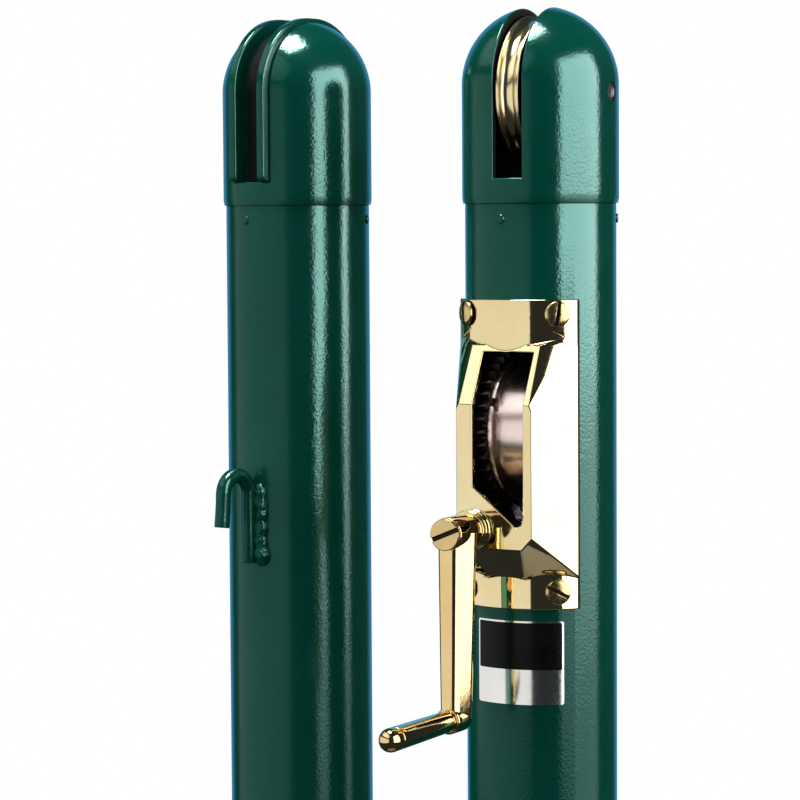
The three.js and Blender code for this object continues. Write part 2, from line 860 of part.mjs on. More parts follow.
function drumBore() {
  const radius = spindleRadius + runningGap + bushWall + gap;
  return rod(radius, [-lugInside - overrun, lugInside + overrun], "side", drumCentre, boreSides);
}

function windingDrum() {
  const outline = [
    [0, drumLeft],
    [drumFlangeRadius, drumLeft],
    [drumFlangeRadius, drumLeft + drumFlange],
    [drumRadius, drumLeft + drumFlange],
    [drumRadius, drumRight - drumFlange],
    [drumFlangeRadius, drumRight - drumFlange],
    [drumFlangeRadius, drumRight],
    [drumHubRadius, drumRight],
    [drumHubRadius, lugInside - runningGap],
    [0, lugInside - runningGap],
  ];
  const body = turned(outline, "side", wheelSides).translate(drumCentre);
  const at = (drumRadius + drumFlangeRadius) / 2;
  const notchCentre = [
    0,
    -wheelReach - at * Math.cos(cableNotchAngle),
    wheelLevel + at * Math.sin(cableNotchAngle),
  ];
  const notchEnds = [drumLeft - overrun, drumLeft + drumFlange];
  const notch = rod(cableNotchRadius, notchEnds, "side", notchCentre, smallSides);
  return cutAll(body, [drumBore(), notch]);
}

piece(post, "worm_wheel", wormWheel(), iron);
piece(post, "winding_drum", windingDrum(), gunmetal);
const drumBush = ring(
  spindleRadius + runningGap,
  spindleRadius + runningGap + bushWall,
  [-lugInside + runningGap, lugInside - runningGap],
  "side",
  drumCentre,
  boreSides,
);
piece(post, "drum_bush", drumBush, bronze);
const drumSpindle = rod(spindleRadius, [-spindleHalf, spindleHalf], "side", drumCentre, boreSides);
piece(post, "drum_spindle", drumSpindle, steel);
[-1, 1].forEach((hand) => {
  const from = lugInside + lugThickness + gap;
  const ends = [from, from + clipThickness].map((at) => at * hand).sort((p, q) => p - q);
  const clip = ring(spindleRadius + gap, spindleRadius + clipRim, ends, "side", drumCentre, boreSides);
  piece(post, hand < 0 ? "spindle_clip_left" : "spindle_clip_right", clip, steel);
});

// Worm: a core with one thread swept round it, a plain hub and a pin through hub and shaft.
function wormThread() {
  const turns = wormLength / wormPitch - 1;
  const count = Math.round(turns * wormSteps);
  const flank = Math.tan(pressureAngle);
  const half = wormPitch / 4 - gearBacklash / 2;
  const tipHalf = half - gearModule * flank;
  const buried = wormRootRadius - gearModule / 2;
  const buriedHalf = half + (wormPitchRadius - buried) * flank;
  const section = [
    [buried, -buriedHalf],
    [wormOuterRadius, -tipHalf],
    [wormOuterRadius, tipHalf],
    [buried, buriedHalf],
  ];
  const rings = Array.from({ length: count + 1 }, (_, i) => {
    const turn = (i - count / 2) / wormSteps;
    const angle = 2 * Math.PI * turn;
    return section.map(([radius, along]) => {
      const reach = wheelReach + wormPitch * turn + along;
      return [radius * Math.sin(angle), -reach, radius * Math.cos(angle)];
    });
  });
  return swept(rings).translate(crankCentre);
}

function wormBody() {
  const outline = [
    [shaftRadius + gap, wormRear],
    [wormRootRadius, wormRear],
    [wormRootRadius, wormFront],
    [wormHubRadius, wormFront],
    [wormHubRadius, wormHubFront],
    [shaftRadius + gap, wormHubFront],
  ];
  const core = turned(outline, "reach", boreSides).translate(crankCentre);
  const boreEnds = [wormRear - overrun, wormHubFront + overrun];
  const bore = rod(shaftRadius + gap, boreEnds, "reach", crankCentre, boreSides);
  return cutAll(core.add(wormThread()), [bore, wormPinShape(gap, overrun)]);
}

function wormPinShape(extraRadius, extraLength) {
  const centre = [gearSide, -(wormFront + wormHubFront) / 2, crankLevel];
  const half = wormHubRadius - gap + extraLength;
  return rod(wormPinRadius + extraRadius, [-half, half], "up", centre, smallSides);
}

function crankShaft() {
  const square = Math.SQRT2 * squareHalf;
  const rear = webRear - gap;
  const outline = [
    [0, rear],
    [journalRadius, rear],
    [journalRadius, webFront + gap],
    [shaftRadius, webFront + gap],
    [shaftRadius, hubRear],
    [0, hubRear],
  ];
  const round = turned(outline, "reach", boreSides).translate(crankCentre);
  const end = rod(square, [hubRear - shaftRadius, armFront - gap], "reach", crankCentre, 4);
  const tapped = rod(
    crankScrewShank + gap,
    [armFront - crankScrewDepth - gap, armFront + overrun],
    "reach",
    crankCentre,
    smallSides,
  );
  return cutAll(round.add(end), [wormPinShape(gap, overrun), tapped]);
}

piece(post, "worm", wormBody(), steel);
piece(post, "worm_pin", wormPinShape(0, 0), steel);
piece(post, "crank_shaft", crankShaft(), steel);

const rearBush = ring(
  journalRadius + runningGap,
  journalRadius + runningGap + frontBushWall,
  [webRear, webFront],
  "reach",
  crankCentre,
  boreSides,
);
piece(post, "rear_bush", rearBush, bronze);

function frontBush() {
  const inner = shaftRadius + runningGap;
  const outer = inner + frontBushWall;
  const outline = [
    [inner, bossRear + gap],
    [outer, bossRear + gap],
    [outer, ringReach + gap],
    [bushFlangeRadius, ringReach + gap],
    [bushFlangeRadius, bushFront],
    [inner, bushFront],
  ];
  return turned(outline, "reach", boreSides).translate(crankCentre);
}

piece(post, "front_bush", frontBush(), brass);

// Crank arm: a blade that is deeper than it is wide, and wider at the rear than at the front.
function bladeSection(half, flare, [rear, front], z) {
  return [-1, 1].flatMap((hand) => [
    [gearSide + hand * (half + flare), rear + armEdge, z],
    [gearSide + hand * (half + flare - armEdge), rear, z],
    [gearSide + hand * (half - armEdge), front, z],
    [gearSide + hand * half, front - armEdge, z],
  ]);
}

function crankArm() {
  const bottomRear = armFront - armBottomDepth;
  const blade = hull([
    ...bladeSection(armTopHalf, armTopFlare, [armRear, armFront], crankLevel),
    ...bladeSection(armBottomHalf, armBottomFlare, [bottomRear, armFront], handleLevel),
  ]);
  const hub = rod(armHubRadius, [hubRear, armFront], "reach", crankCentre, boreSides);
  const eyeCentre = [gearSide, 0, handleLevel];
  const eye = rod(armEyeRadius, [bottomRear, armFront], "reach", eyeCentre, boreSides);
  const square = rod(
    Math.SQRT2 * (squareHalf + gap),
    [hubRear - overrun, armFront + overrun],
    "reach",
    crankCentre,
    4,
  );
  const eyeHole = rod(
    gripSpindleRadius + gap,
    [bottomRear - overrun, armFront + overrun],
    "reach",
    eyeCentre,
    boreSides,
  );
  return cutAll(joinAll([blade, hub, eye]), [square, eyeHole]);
}

function crankScrew() {
  const body = screw(
    {
      head: crankScrewRadius,
      height: crankScrewHead,
      edge: crankScrewEdge,
      shank: crankScrewShank,
      length: crankScrewDepth,
      slot: crankScrewSlot,
      slotDepth: crankScrewHead / 2,
      slotTurn: crankScrewSlotTurn,
    },
    boreSides,
  );
  return body.translate([gearSide, -armFront - gap, crankLevel]);
}

piece(post, "crank_arm", crankArm(), brass);
piece(post, "crank_screw", crankScrew(), brass);

// Handle: a grip that turns freely on a spindle with a domed end.
const gripRear = armFront + runningGap;
const gripFront = gripRear + gripLength;
const handleCentre = [gearSide, 0, handleLevel];

function gripSpindle() {
  const steps = 5;
  const headRear = gripFront + runningGap;
  const dome = Array.from({ length: steps }, (_, i) => {
    const angle = (Math.PI * i) / (2 * steps);
    const along = headRear + gripEndLength - gripRadius + gripRadius * Math.sin(angle);
    return [gripRadius * Math.cos(angle), along];
  });
  const outline = [
    [0, armFront - armBottomDepth],
    [gripSpindleRadius, armFront - armBottomDepth],
    [gripSpindleRadius, headRear],
    [gripRadius, headRear],
    ...dome,
    [0, headRear + gripEndLength],
  ];
  return turned(outline, "reach", boreSides).translate(handleCentre);
}

piece(post, "handle_spindle", gripSpindle(), brass);
const gripBore = gripSpindleRadius + runningGap;
const grip = turned(
  [
    [gripBore, gripRear],
    [gripRearRadius, gripRear],
    [gripRadius, gripFront],
    [gripBore, gripFront],
  ],
  "reach",
  boreSides,
).translate(handleCentre);
piece(post, "handle_grip", grip, brass);

// Blank plate on the tube, just below the winder
const plateHalfAngle = plateWidth / (2 * tubeRadius);
const plateTop = housingFoot - plateDrop;
const plate = pipeSector(
  tubeRadius + gap,
  tubeRadius + gap + plateThickness,
  [plateTurn - plateHalfAngle, plateTurn + plateHalfAngle],
  [plateTop - plateHeight, plateTop],
  boreSides,
);
piece(post, "blank_plate", plate, enamel);

// Anchor post: tube, foot, cap and a channel that guides the cable over it
const guideHalf = guideChannel / 2 + guideWall;
addPostPieces(anchorPost, "anchor", {
  tubeCutters: [],
  cap: capShell().subtract(capSlot(2 * (guideHalf + gap), slotSill - gap)),
});

function cableGuide() {
  const level = [rimLevel + slotSill, rimLevel + capSkirt];
  const floorRadius = capRadius - guideFloorDepth;
  const below = [level[0] - overrun, level[1]];
  const across = [-guideHalf - overrun, guideHalf + overrun];
  const channel = [-guideChannel / 2, guideChannel / 2];
  const outer = plateAlongSide(arch(capRadius, guideProud, level), [-guideHalf, guideHalf]);
  const inner = plateAlongSide(arch(floorRadius - guideFloor, 0, below), across);
  const floor = plateAlongSide(arch(floorRadius, 0, [below[0] - overrun, below[1]]), across);
  const beyond = plateAlongSide(arch(capRadius + overrun, guideProud, below), channel);
  const lipEnds = [-1, 1].map((hand) => {
    const reach = hand * (capRadius + guideProud);
    return plateAlongSide(
      [
        [reach, level[0] - overrun],
        [reach, level[0] + guideLipEnd],
        [reach - hand * guideProud, level[0]],
        [reach - hand * guideProud, level[0] - overrun],
      ],
      across,
    );
  });
  return cutAll(outer, [inner, beyond.subtract(floor), ...lipEnds]);
}

piece(anchorPost, "cable_guide", cableGuide(), paint);

// Hook: a round bar bent over, with its inner leg along the tube
const hookInnerReach = tubeRadius + gap + hookBarRadius;
const hookBend = hookSpread / 2;
const hookBendLevel = rimLevel - hookDrop - hookBarRadius - hookBend;

function hookBar() {
  const steps = 10;
  const route = [
    [hookInnerReach, hookBendLevel - hookInnerLeg],
    ...Array.from({ length: steps + 1 }, (_, i) => {
      const angle = Math.PI - (Math.PI * i) / steps;
      return [
        hookInnerReach + hookBend + hookBend * Math.cos(angle),
        hookBendLevel + hookBend * Math.sin(angle),
      ];
    }),
    [hookInnerReach + hookSpread + hookSplay, hookBendLevel - hookOuterLeg],
  ];
  const rings = route.map(([reach, z], i) => {
    const lean = Math.PI * THREE.MathUtils.clamp((i - 1) / steps, 0, 1);
    return Array.from({ length: barSides }, (_, j) => {
      const angle = (2 * Math.PI * j) / barSides;
      const across = hookBarRadius * Math.cos(angle);
      return [
        -hookBarRadius * Math.sin(angle),
        -(reach - across * Math.cos(lean)),
        z + across * Math.sin(lean),
      ];
    });
  });
  return swept(rings);
}

// The weld: a row of lumps in the corner between the hook's inner leg and the tube.
function hookWeld() {
  const top = hookBendLevel + hookBend - hookBarRadius;
  const foot = hookBendLevel - hookInnerLeg;
  const spacing = (top - foot) / weldCount;
  const lumps = weldShares.map((share, i) => {
    const lump = new THREE.SphereGeometry(1, barSides, domeSteps);
    lump.rotateX(Math.PI / 2);
    lump.scale(weldSideRadius * share, weldProudRadius * share, spacing * share);
    lump.translate(weldMiddle, -tubeRadius, foot + spacing * (i + 1 / 2));
    return solid(lump);
  });
  const tube = rod(tubeRadius + gap, [foot - overrun, top + overrun], "up", [0, 0, 0], tubeSides);
  const leg = rod(
    hookBarRadius + gap,
    [foot - overrun, top + overrun],
    "up",
    [0, -hookInnerReach, 0],
    boreSides,
  );
  return cutAll(joinAll(lumps), [tube, leg]);
}

piece(anchorPost, "cable_hook", hookBar(), paint);
piece(anchorPost, "hook_weld", hookWeld(), paint);

export default post;
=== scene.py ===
"""A pair of round tennis net posts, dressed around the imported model.

Metres, +Z up. The winder faces -Y. "Side" runs along +X and "reach" along -Y, both from a post's axis.
"""

import json
import math

import bmesh
import bpy
from mathutils import Matrix, Vector

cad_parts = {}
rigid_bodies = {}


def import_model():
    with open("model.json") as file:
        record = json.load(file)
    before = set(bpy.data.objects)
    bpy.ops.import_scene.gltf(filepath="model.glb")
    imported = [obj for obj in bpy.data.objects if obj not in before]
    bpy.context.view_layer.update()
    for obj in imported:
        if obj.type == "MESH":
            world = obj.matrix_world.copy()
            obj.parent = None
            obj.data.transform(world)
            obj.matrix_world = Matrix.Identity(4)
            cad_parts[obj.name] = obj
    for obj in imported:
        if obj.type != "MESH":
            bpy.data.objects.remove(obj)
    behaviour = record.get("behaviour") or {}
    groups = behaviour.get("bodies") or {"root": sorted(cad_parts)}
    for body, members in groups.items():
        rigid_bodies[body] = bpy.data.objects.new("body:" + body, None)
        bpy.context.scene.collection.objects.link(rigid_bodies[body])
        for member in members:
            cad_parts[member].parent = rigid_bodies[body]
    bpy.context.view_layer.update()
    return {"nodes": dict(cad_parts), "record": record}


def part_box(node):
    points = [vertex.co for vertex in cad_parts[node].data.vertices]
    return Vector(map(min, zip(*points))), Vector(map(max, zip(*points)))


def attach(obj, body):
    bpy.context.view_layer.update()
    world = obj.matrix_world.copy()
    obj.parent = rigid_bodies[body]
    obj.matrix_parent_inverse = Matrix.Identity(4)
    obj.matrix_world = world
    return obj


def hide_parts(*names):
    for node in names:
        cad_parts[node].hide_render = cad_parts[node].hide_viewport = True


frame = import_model()

MM = 0.001


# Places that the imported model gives


def middle(node):
    low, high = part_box(node)
    return (low + high) / 2


def half_width(node):
    low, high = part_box(node)
    return (high.x - low.x) / 2


def half_height(node):
    low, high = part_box(node)
    return (high.z - low.z) / 2


def reach_ends(node):
    low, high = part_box(node)
    return -high.y, -low.y


def level_ends(node):
    low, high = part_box(node)
    return low.z, high.z


TUBE_FOOT, RIM = level_ends("winding_post_tube")
TUBE_RADIUS = half_width("winding_post_foot")
CAP_RADIUS = half_width("winding_post_cap")
SPIGOT_FOOT, CAP_TOP = level_ends("winding_post_cap")
SPRING = CAP_TOP - CAP_RADIUS
PULLEY_CENTRE = middle("pulley_axle")
PULLEY_RADIUS = half_height("pulley_wheel")
PULLEY_HALF = half_width("pulley_wheel")
DRUM_CENTRE = middle("drum_spindle")
CRANK_SIDE, CRANK_LEVEL = middle("crank_screw").xz
CRANK_CENTRE = (CRANK_SIDE, 0, CRANK_LEVEL)
HANDLE_LEVEL = middle("handle_grip").z
HANDLE_CENTRE = (CRANK_SIDE, 0, HANDLE_LEVEL)
ARM_REAR, ARM_FRONT = reach_ends("crank_arm")
HOUSING_FOOT, HOUSING_TOP = level_ends("winder_housing")
PLATE_FOOT, PLATE_TOP = level_ends("blank_plate")
ANCHOR_PLACE = middle("anchor_post_foot")
ANCHOR_TURN = math.radians(-10)
HOOK_FOOT, HOOK_TOP = level_ends("cable_hook")

# Sizes of the dressed pieces

GAP = 0.3 * MM
RUNNING = 0.4 * MM
EDGE = 0.5 * MM
FINE = 0.15 * MM
MERGE = 0.002 * MM
FLAT = math.radians(1)
SHARP = math.radians(35)
SLIGHT_TURN = math.radians(12)
SEGMENTS = 160
WHEEL_SEGMENTS = 192
TURNED_SEGMENTS = 96
SMALL_SEGMENTS = 64
BAR_SEGMENTS = 48
HOLE_SEGMENTS = 24

TUBE_WALL = 3.2 * MM
CAP_WALL = 4 * MM
CAP_SKIN = 0.35 * CAP_WALL
SLOT_SILL = 12.5 * MM
SLOT_HALF = 7.9 * MM
SLOT_EDGE = 0.9 * MM
SLOT_STEP = 0.12 * MM
GRID_STEP = 0.1 * MM
CAP_SCREW_RADIUS = 2.4 * MM
CAP_SCREW_HEAD = 1 * MM
CAP_SCREW_LENGTH = 9 * MM
CAP_SCREW_LEVEL = RIM - 7.7 * MM
CAP_SCREW_ANGLES = [math.radians(-6 + 120 * i) for i in range(3)]

AXLE_RADIUS = 4.5 * MM
AXLE_RIM = 1.2 * MM
AXLE_RECESS = 0.8 * MM
AXLE_EDGE = 0.3 * MM
BUSH_WALL = 1.6 * MM
PULLEY_LIP = 1.4 * MM
PULLEY_GROOVE = 4 * MM
PULLEY_HUB = 11 * MM
PULLEY_RIM = PULLEY_RADIUS - 11 * MM
PULLEY_WEB = 2.5 * MM
PULLEY_EDGE = 0.45 * MM

OPENING_HALF = 29.5 * MM
OPENING_FOOT = 1145.2 * MM
OPENING_TOP = 1260.9 * MM
FLANGE_RADIUS = 41.3 * MM
HOUSING_EDGE = 0.6 * MM
HOUSING_BEND = math.radians(24)
RIM_ANGLE = math.radians(51)
CAVITY_REACH = 25 * MM
CAVITY_LOW = 1160 * MM
CAVITY_HIGH = 1245 * MM
SCREW_ANGLE = math.radians(36.5)
SCREW_HOLE = 2.9 * MM
SCREW_HEAD = 6.3 * MM
SCREW_HEAD_HEIGHT = 2.6 * MM
SCREW_STRAIGHT = 0.45 * SCREW_HEAD_HEIGHT
SCREW_SHANK = 2.6 * MM
SCREW_LENGTH = 9 * MM
SCREW_SLOT = 1.8 * MM
SCREW_SLOT_FLOOR = 1.1 * MM
SCREW_EDGE = 0.12 * MM
SLOT_CORNER = math.radians(50)
# Height up a screw head's side that gets painted shade
HEAD_SHADE_TOP = 0.5 * MM

SPINDLE_RADIUS = 6 * MM
DRUM_LEFT = -7.65 * MM
DRUM_RIGHT = 18.5 * MM
DRUM_BARREL = 31 * MM
DRUM_FLANGE = 36.5 * MM
DRUM_FLANGE_WIDTH = 2.6 * MM
DRUM_HUB = 13 * MM
DRUM_HUB_END = 24.1 * MM
DRUM_EDGE = 0.6 * MM
NOTCH_RADIUS = 3.5 * MM
NOTCH_ANGLE = math.radians(24)
WHEEL_EDGE = 0.2 * MM
WHEEL_BEND = math.radians(28)

ARM_HUB_LENGTH = 4.8 * MM
BLADE_HALF = (6.2 * MM, 4.8 * MM)
BLADE_FLARE = (3 * MM, 2.2 * MM)
BLADE_HEEL = 1.6 * MM
# Shares of the blade's half width and of its depth
BLADE_CORNER = 0.74
BLADE_FOOT = 0.16
BLADE_TURN = math.radians(70)
HUB_RADIUS = 8.2 * MM
HUB_BORE = 4 * MM
HUB_CHAMFER = 0.6 * MM
HUB_CHAMFER_LENGTH = 2 * MM
HUB_EDGE = 0.7 * MM
EYE_RADIUS = 6.6 * MM
EYE_REAR = ARM_FRONT - 14.6 * MM
EYE_EDGE = 1.2 * MM
HANDLE_BORE = 3.6 * MM
CRANK_SCREW_HEAD = 7.75 * MM
CRANK_SCREW_HEIGHT = 2.2 * MM
CRANK_SCREW_SHANK = 2.5 * MM
CRANK_SCREW_LENGTH = 14 * MM
CRANK_SCREW_SLOT = 2.4 * MM
CRANK_SLOT_FLOOR = CRANK_SCREW_HEIGHT / 4
CRANK_SCREW_TURN = math.radians(22)
GRIP_REAR_RADIUS = 5.3 * MM
GRIP_RADIUS = 5.8 * MM
HANDLE_EDGE = 0.3 * MM
BUSH_BORE = 6.4 * MM
BUSH_RADIUS = 8.3 * MM
BUSH_FLANGE = 9.5 * MM
BUSH_FLANGE_WIDTH = 2.2 * MM
BUSH_EDGE = 0.6 * MM

PLATE_INNER = TUBE_RADIUS + GAP
PLATE_THICK = 0.6 * MM
PLATE_STEP = 0.06 * MM
PLATE_TURN = math.radians(6.7)
PLATE_HALF = 46.6 * MM / (2 * TUBE_RADIUS)
PLATE_CORNER = 1.2 * MM
FIELD_MARGIN = 0.9 * MM
FIELD_FOOT = 17.5 * MM
FIELD_CORNER = 0.8 * MM

GUIDE_CHANNEL_HALF = 7.1 * MM
GUIDE_HALF = 12.1 * MM
GUIDE_PROUD = 2.6 * MM
GUIDE_DEPTH = 7 * MM
GUIDE_FLOOR = 3.5 * MM
GUIDE_LIP = 1.3 * MM
GUIDE_RISE = 3 * MM
CHANNEL_OUT = 0.8 * CAP_RADIUS
BAR_END = 0.6 * MM
HOOK_BAR = 4 * MM
HOOK_SPREAD = 19.5 * MM
HOOK_OUTER_LEG = 16.8 * MM
HOOK_INNER_LEG = 37 * MM
HOOK_SPLAY = 1.5 * MM
WELD_FOOT = HOOK_FOOT - 2 * MM
WELD_TOP = HOOK_FOOT + 42 * MM
WELD_SIDE = 4.9 * MM
WELD_REACH = 4.6 * MM
# Place of the drop along the bead, and waves as (size, rate, start)
WELD_DROP = 0.1
WELD_LUMPS = ((0.05, 17, 1), (0.04, 41, 2))
WELD_LEANS = ((0.35 * MM, 13, 0), (0.2 * MM, 29, 1))


# Mesh helpers


def mesh_piece(name, points, faces, sharp=SHARP):
    """A smooth-shaded object from points and faces, with its doubles merged and its faces turned outwards."""
    mesh = bpy.data.meshes.new(name)
    mesh.from_pydata([tuple(p) for p in points], [], faces)
    shape = bmesh.new()
    shape.from_mesh(mesh)
    bmesh.ops.remove_doubles(shape, verts=shape.verts, dist=MERGE)
    bmesh.ops.dissolve_degenerate(shape, edges=shape.edges, dist=MERGE)
    bmesh.ops.recalc_face_normals(shape, faces=shape.faces)
    shape.to_mesh(mesh)
    shape.free()
    piece = bpy.data.objects.new(name, mesh)
    bpy.context.scene.collection.objects.link(piece)
    smooth(piece, sharp)
    return piece


def smooth(piece, sharp=SHARP):
    """Smooth shading, with edges sharper than the angle kept."""
    mesh = piece.data
    mesh.polygons.foreach_set("use_smooth", [True] * len(mesh.polygons))
    mesh.set_sharp_from_angle(angle=sharp)
    mesh.update()


def apply_modifiers(piece):
    depsgraph = bpy.context.evaluated_depsgraph_get()
    mesh = bpy.data.meshes.new_from_object(piece.evaluated_get(depsgraph))
    piece.modifiers.clear()
    piece.data = mesh
    mesh.name = piece.name


def cut(piece, cutters):
    """Takes the cutters out of a piece, and removes them from the scene."""
    for cutter in cutters:
        modifier = piece.modifiers.new("cut", "BOOLEAN")
        modifier.operation = "DIFFERENCE"
        modifier.solver = "EXACT"
        modifier.object = cutter
    apply_modifiers(piece)
    for cutter in cutters:
        bpy.data.objects.remove(cutter)
    smooth(piece)


def round_edges(piece, width, segments, angle, clamp=True):
    """Rounds the edges of a piece that are sharper than the angle, clamped to its shortest edges or not."""
    modifier = piece.modifiers.new("edges", "BEVEL")
    modifier.width = width
    modifier.segments = segments
    modifier.limit_method = "ANGLE"
    modifier.angle_limit = angle
    modifier.use_clamp_overlap = clamp
    apply_modifiers(piece)
    smooth(piece)
    weighted = piece.modifiers.new("flats", "WEIGHTED_NORMAL")
    weighted.keep_sharp = True
    apply_modifiers(piece)


def soften(outline, radius, steps=4):
    """The closed outline with its corners off the axis rounded, over less than half of each side."""
    most = 0.45
    rounded = []
    for i, point in enumerate(outline):
        before, after = Vector(outline[i - 1]), Vector(outline[(i + 1) % len(outline)])
        here = Vector(point)
        back, ahead = before - here, after - here
        if here.x == 0 or back.length == 0 or ahead.length == 0:
            rounded.append(tuple(here))
            continue
        turn = math.pi - back.angle(ahead)
        if turn < SLIGHT_TURN:
            rounded.append(tuple(here))
            continue
        reach = min(radius * math.tan(turn / 2), most * back.length, most * ahead.length)
        start, end = here + back.normalized() * reach, here + ahead.normalized() * reach
        for k in range(steps + 1):
            t = k / steps
            rounded.append(tuple(start * (1 - t) ** 2 + here * 2 * t * (1 - t) + end * t**2))
    return rounded


AXES = {
    "up": Matrix.Identity(3),
    "side": Matrix(((0, 0, 1), (0, 1, 0), (-1, 0, 0))),
    "reach": Matrix(((1, 0, 0), (0, 0, -1), (0, 1, 0))),
}


def lathe(name, outline, axis, centre, segments=SEGMENTS):
    """A closed outline of (radius, height) points turned round an axis through the centre."""
    turn, centre = AXES[axis], Vector(centre)
    count = len(outline)
    points = [
        centre + turn @ Vector((r * math.cos(a), r * math.sin(a), h))
        for a in (2 * math.pi * j / segments for j in range(segments))
        for r, h in outline
    ]
    faces = [
        (
            j * count + i,
            j * count + (i + 1) % count,
            (j + 1) % segments * count + (i + 1) % count,
            (j + 1) % segments * count + i,
        )
        for j in range(segments)
        for i in range(count)
        if outline[i][0] > 0 or outline[(i + 1) % count][0] > 0
    ]
    return mesh_piece(name, points, faces)


def block(low, high):
    """A cutting block between two corners, given as (side, reach, height)."""
    (x0, y0, z0), (x1, y1, z1) = (low[0], -low[1], low[2]), (high[0], -high[1], high[2])
    points = [(x, y, z) for x in (x0, x1) for y in (y0, y1) for z in (z0, z1)]
    faces = [(0, 1, 3, 2), (4, 6, 7, 5), (0, 4, 5, 1), (2, 3, 7, 6), (0, 2, 6, 4), (1, 5, 7, 3)]
    return mesh_piece("block", points, faces)


def pin(radius, ends, axis, centre, segments=SMALL_SEGMENTS):
    """A round cutter."""
    outline = [(0, ends[0]), (radius, ends[0]), (radius, ends[1]), (0, ends[1])]
    return lathe("pin", outline, axis, centre, segments)


def place_on_anchor(piece):
    """Moves the mesh of a piece that was made at the winding post's place to the anchor post."""
    to_anchor = Matrix.Translation((ANCHOR_PLACE.x, ANCHOR_PLACE.y, 0)) @ Matrix.Rotation(ANCHOR_TURN, 4, "Z")
    piece.data.transform(to_anchor)
    return piece


def copy_of(node, width, segments, angle, clamp=True, splits=()):
    """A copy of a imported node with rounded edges, split at the angles round the post's axis."""
    piece = bpy.data.objects.new(f"{node}_dressed", frame["nodes"][node].data.copy())
    bpy.context.scene.collection.objects.link(piece)
    piece.data.materials.clear()
    shape = bmesh.new()
    shape.from_mesh(piece.data)
    bmesh.ops.remove_doubles(shape, verts=shape.verts, dist=MERGE)
    bmesh.ops.dissolve_limit(shape, angle_limit=FLAT, verts=shape.verts, edges=shape.edges)
    for turn in splits:
        across = (math.cos(turn), math.sin(turn), 0)
        everything = [*shape.verts, *shape.edges, *shape.faces]
        bmesh.ops.bisect_plane(shape, geom=everything, dist=MERGE, plane_co=(0, 0, 0), plane_no=across)
    shape.to_mesh(piece.data)
    shape.free()
    round_edges(piece, width, segments, angle, clamp)
    return piece


def ring(name, inner, outer, ends, axis, centre, edge=FINE):
    """A ring with rounded edges, or a rod where the inner radius is zero."""
    outline = [(inner, ends[0]), (outer, ends[0]), (outer, ends[1]), (inner, ends[1])]
    return lathe(name, soften(outline, edge), axis, centre, TURNED_SEGMENTS)


def swing(piece, angle):
    """Turns the mesh of a piece round the post's axis, from the front towards the right."""
    piece.data.transform(Matrix.Rotation(angle, 4, "Z"))
    return piece


def line_inside(piece, material, is_inside):
    """Gives the faces whose middle and normal pass the test a second material."""
    piece.data.materials.append(material)
    last = len(piece.data.materials) - 1
    for face in piece.data.polygons:
        if is_inside(face.center, face.normal):
            face.material_index = last
    return piece


def dress(piece, body, slot, material, *nodes):
    """Gives a piece its finish, the body it rides on and the nodes it stands for."""
    piece.data.materials.clear()
    piece.data.materials.append(material)
    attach(piece, body)
    if nodes:
        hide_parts(*nodes)
    return piece


# Finishes


def fill(tree, node, inputs):
    """Sets a node's inputs to values, or links them to the outputs of other nodes."""
    for key, value in inputs.items():
        if isinstance(value, bpy.types.NodeSocket):
            tree.links.new(value, node.inputs[key])
        else:
            node.inputs[key].default_value = value


def add_node(tree, kind, inputs, output, **settings):
    """One output of a new node."""
    node = tree.nodes.new(f"ShaderNode{kind}")
    for name, value in settings.items():
        setattr(node, name, value)
    fill(tree, node, inputs)
    return node.outputs[output]


def finish(name):
    """A new material with its nodes and its Principled shader."""
    material = bpy.data.materials.new(name)
    material.use_nodes = True
    return material, material.node_tree, material.node_tree.nodes["Principled BSDF"]


def noise(tree, scale, detail, stretch=(1, 1, 1)):
    """A noise texture over the piece's own coordinates, in cycles per metre."""
    place = add_node(tree, "TexCoord", {}, "Object")
    place = add_node(tree, "Mapping", {"Vector": place, "Scale": stretch}, "Vector")
    return add_node(tree, "TexNoise", {"Vector": place, "Scale": scale, "Detail": detail}, "Fac")


def spread(tree, value, low, high, source=(0.3, 0.7)):
    """A value from a texture, mapped on to a range."""
    ends = {"From Min": source[0], "From Max": source[1], "To Min": low, "To Max": high}
    return add_node(tree, "MapRange", {"Value": value, **ends}, "Result")


def tones(tree, scale, detail, first, second):
    """Slow changes between two colours."""
    share = spread(tree, noise(tree, scale, detail), 0, 1)
    colours = {"Factor": share, "A": (*first, 1), "B": (*second, 1)}
    return add_node(tree, "Mix", colours, "Result", data_type="RGBA")


def bump(tree, layers):
    """A normal from several heights, each given as (height, distance in metres)."""
    below = {}
    for height, distance in layers:
        normal = add_node(tree, "Bump", {"Height": height, "Distance": distance, **below}, "Normal")
        below = {"Normal": normal}
    return normal


def gloss_paint(name, peel):
    """Deep green gloss paint, with its orange peel given as (scale, distance) pairs."""
    material, tree, surface = finish(name)
    looks = {
        "Base Color": tones(tree, PAINT_CLOUDS, 3, PAINT_DEEP, PAINT_LIGHT),
        "Roughness": spread(tree, noise(tree, PAINT_HAZE, 5), *PAINT_ROUGHNESS),
        "Normal": bump(tree, [(noise(tree, scale, 3), distance) for scale, distance in peel]),
        "Specular Tint": (*PAINT_SHEEN, 1),
    }
    fill(tree, surface, looks)
    return material


def metal(name, deep, light, roughness, grain_depth=0.01 * MM, waves=0.15 * MM, grain=(1, 1, 1)):
    """Bare metal with a slight change of tone, faint grain and the low waves of hand polishing."""
    material, tree, surface = finish(name)
    grained = noise(tree, METAL_GRAIN, 4, grain)
    looks = {
        "Base Color": tones(tree, METAL_CLOUDS, 5, deep, light),
        "Metallic": 1,
        "Roughness": spread(tree, grained, *roughness),
        "Normal": bump(tree, [(grained, grain_depth), (noise(tree, METAL_WAVES, 1), waves)]),
    }
    fill(tree, surface, looks)
    return material


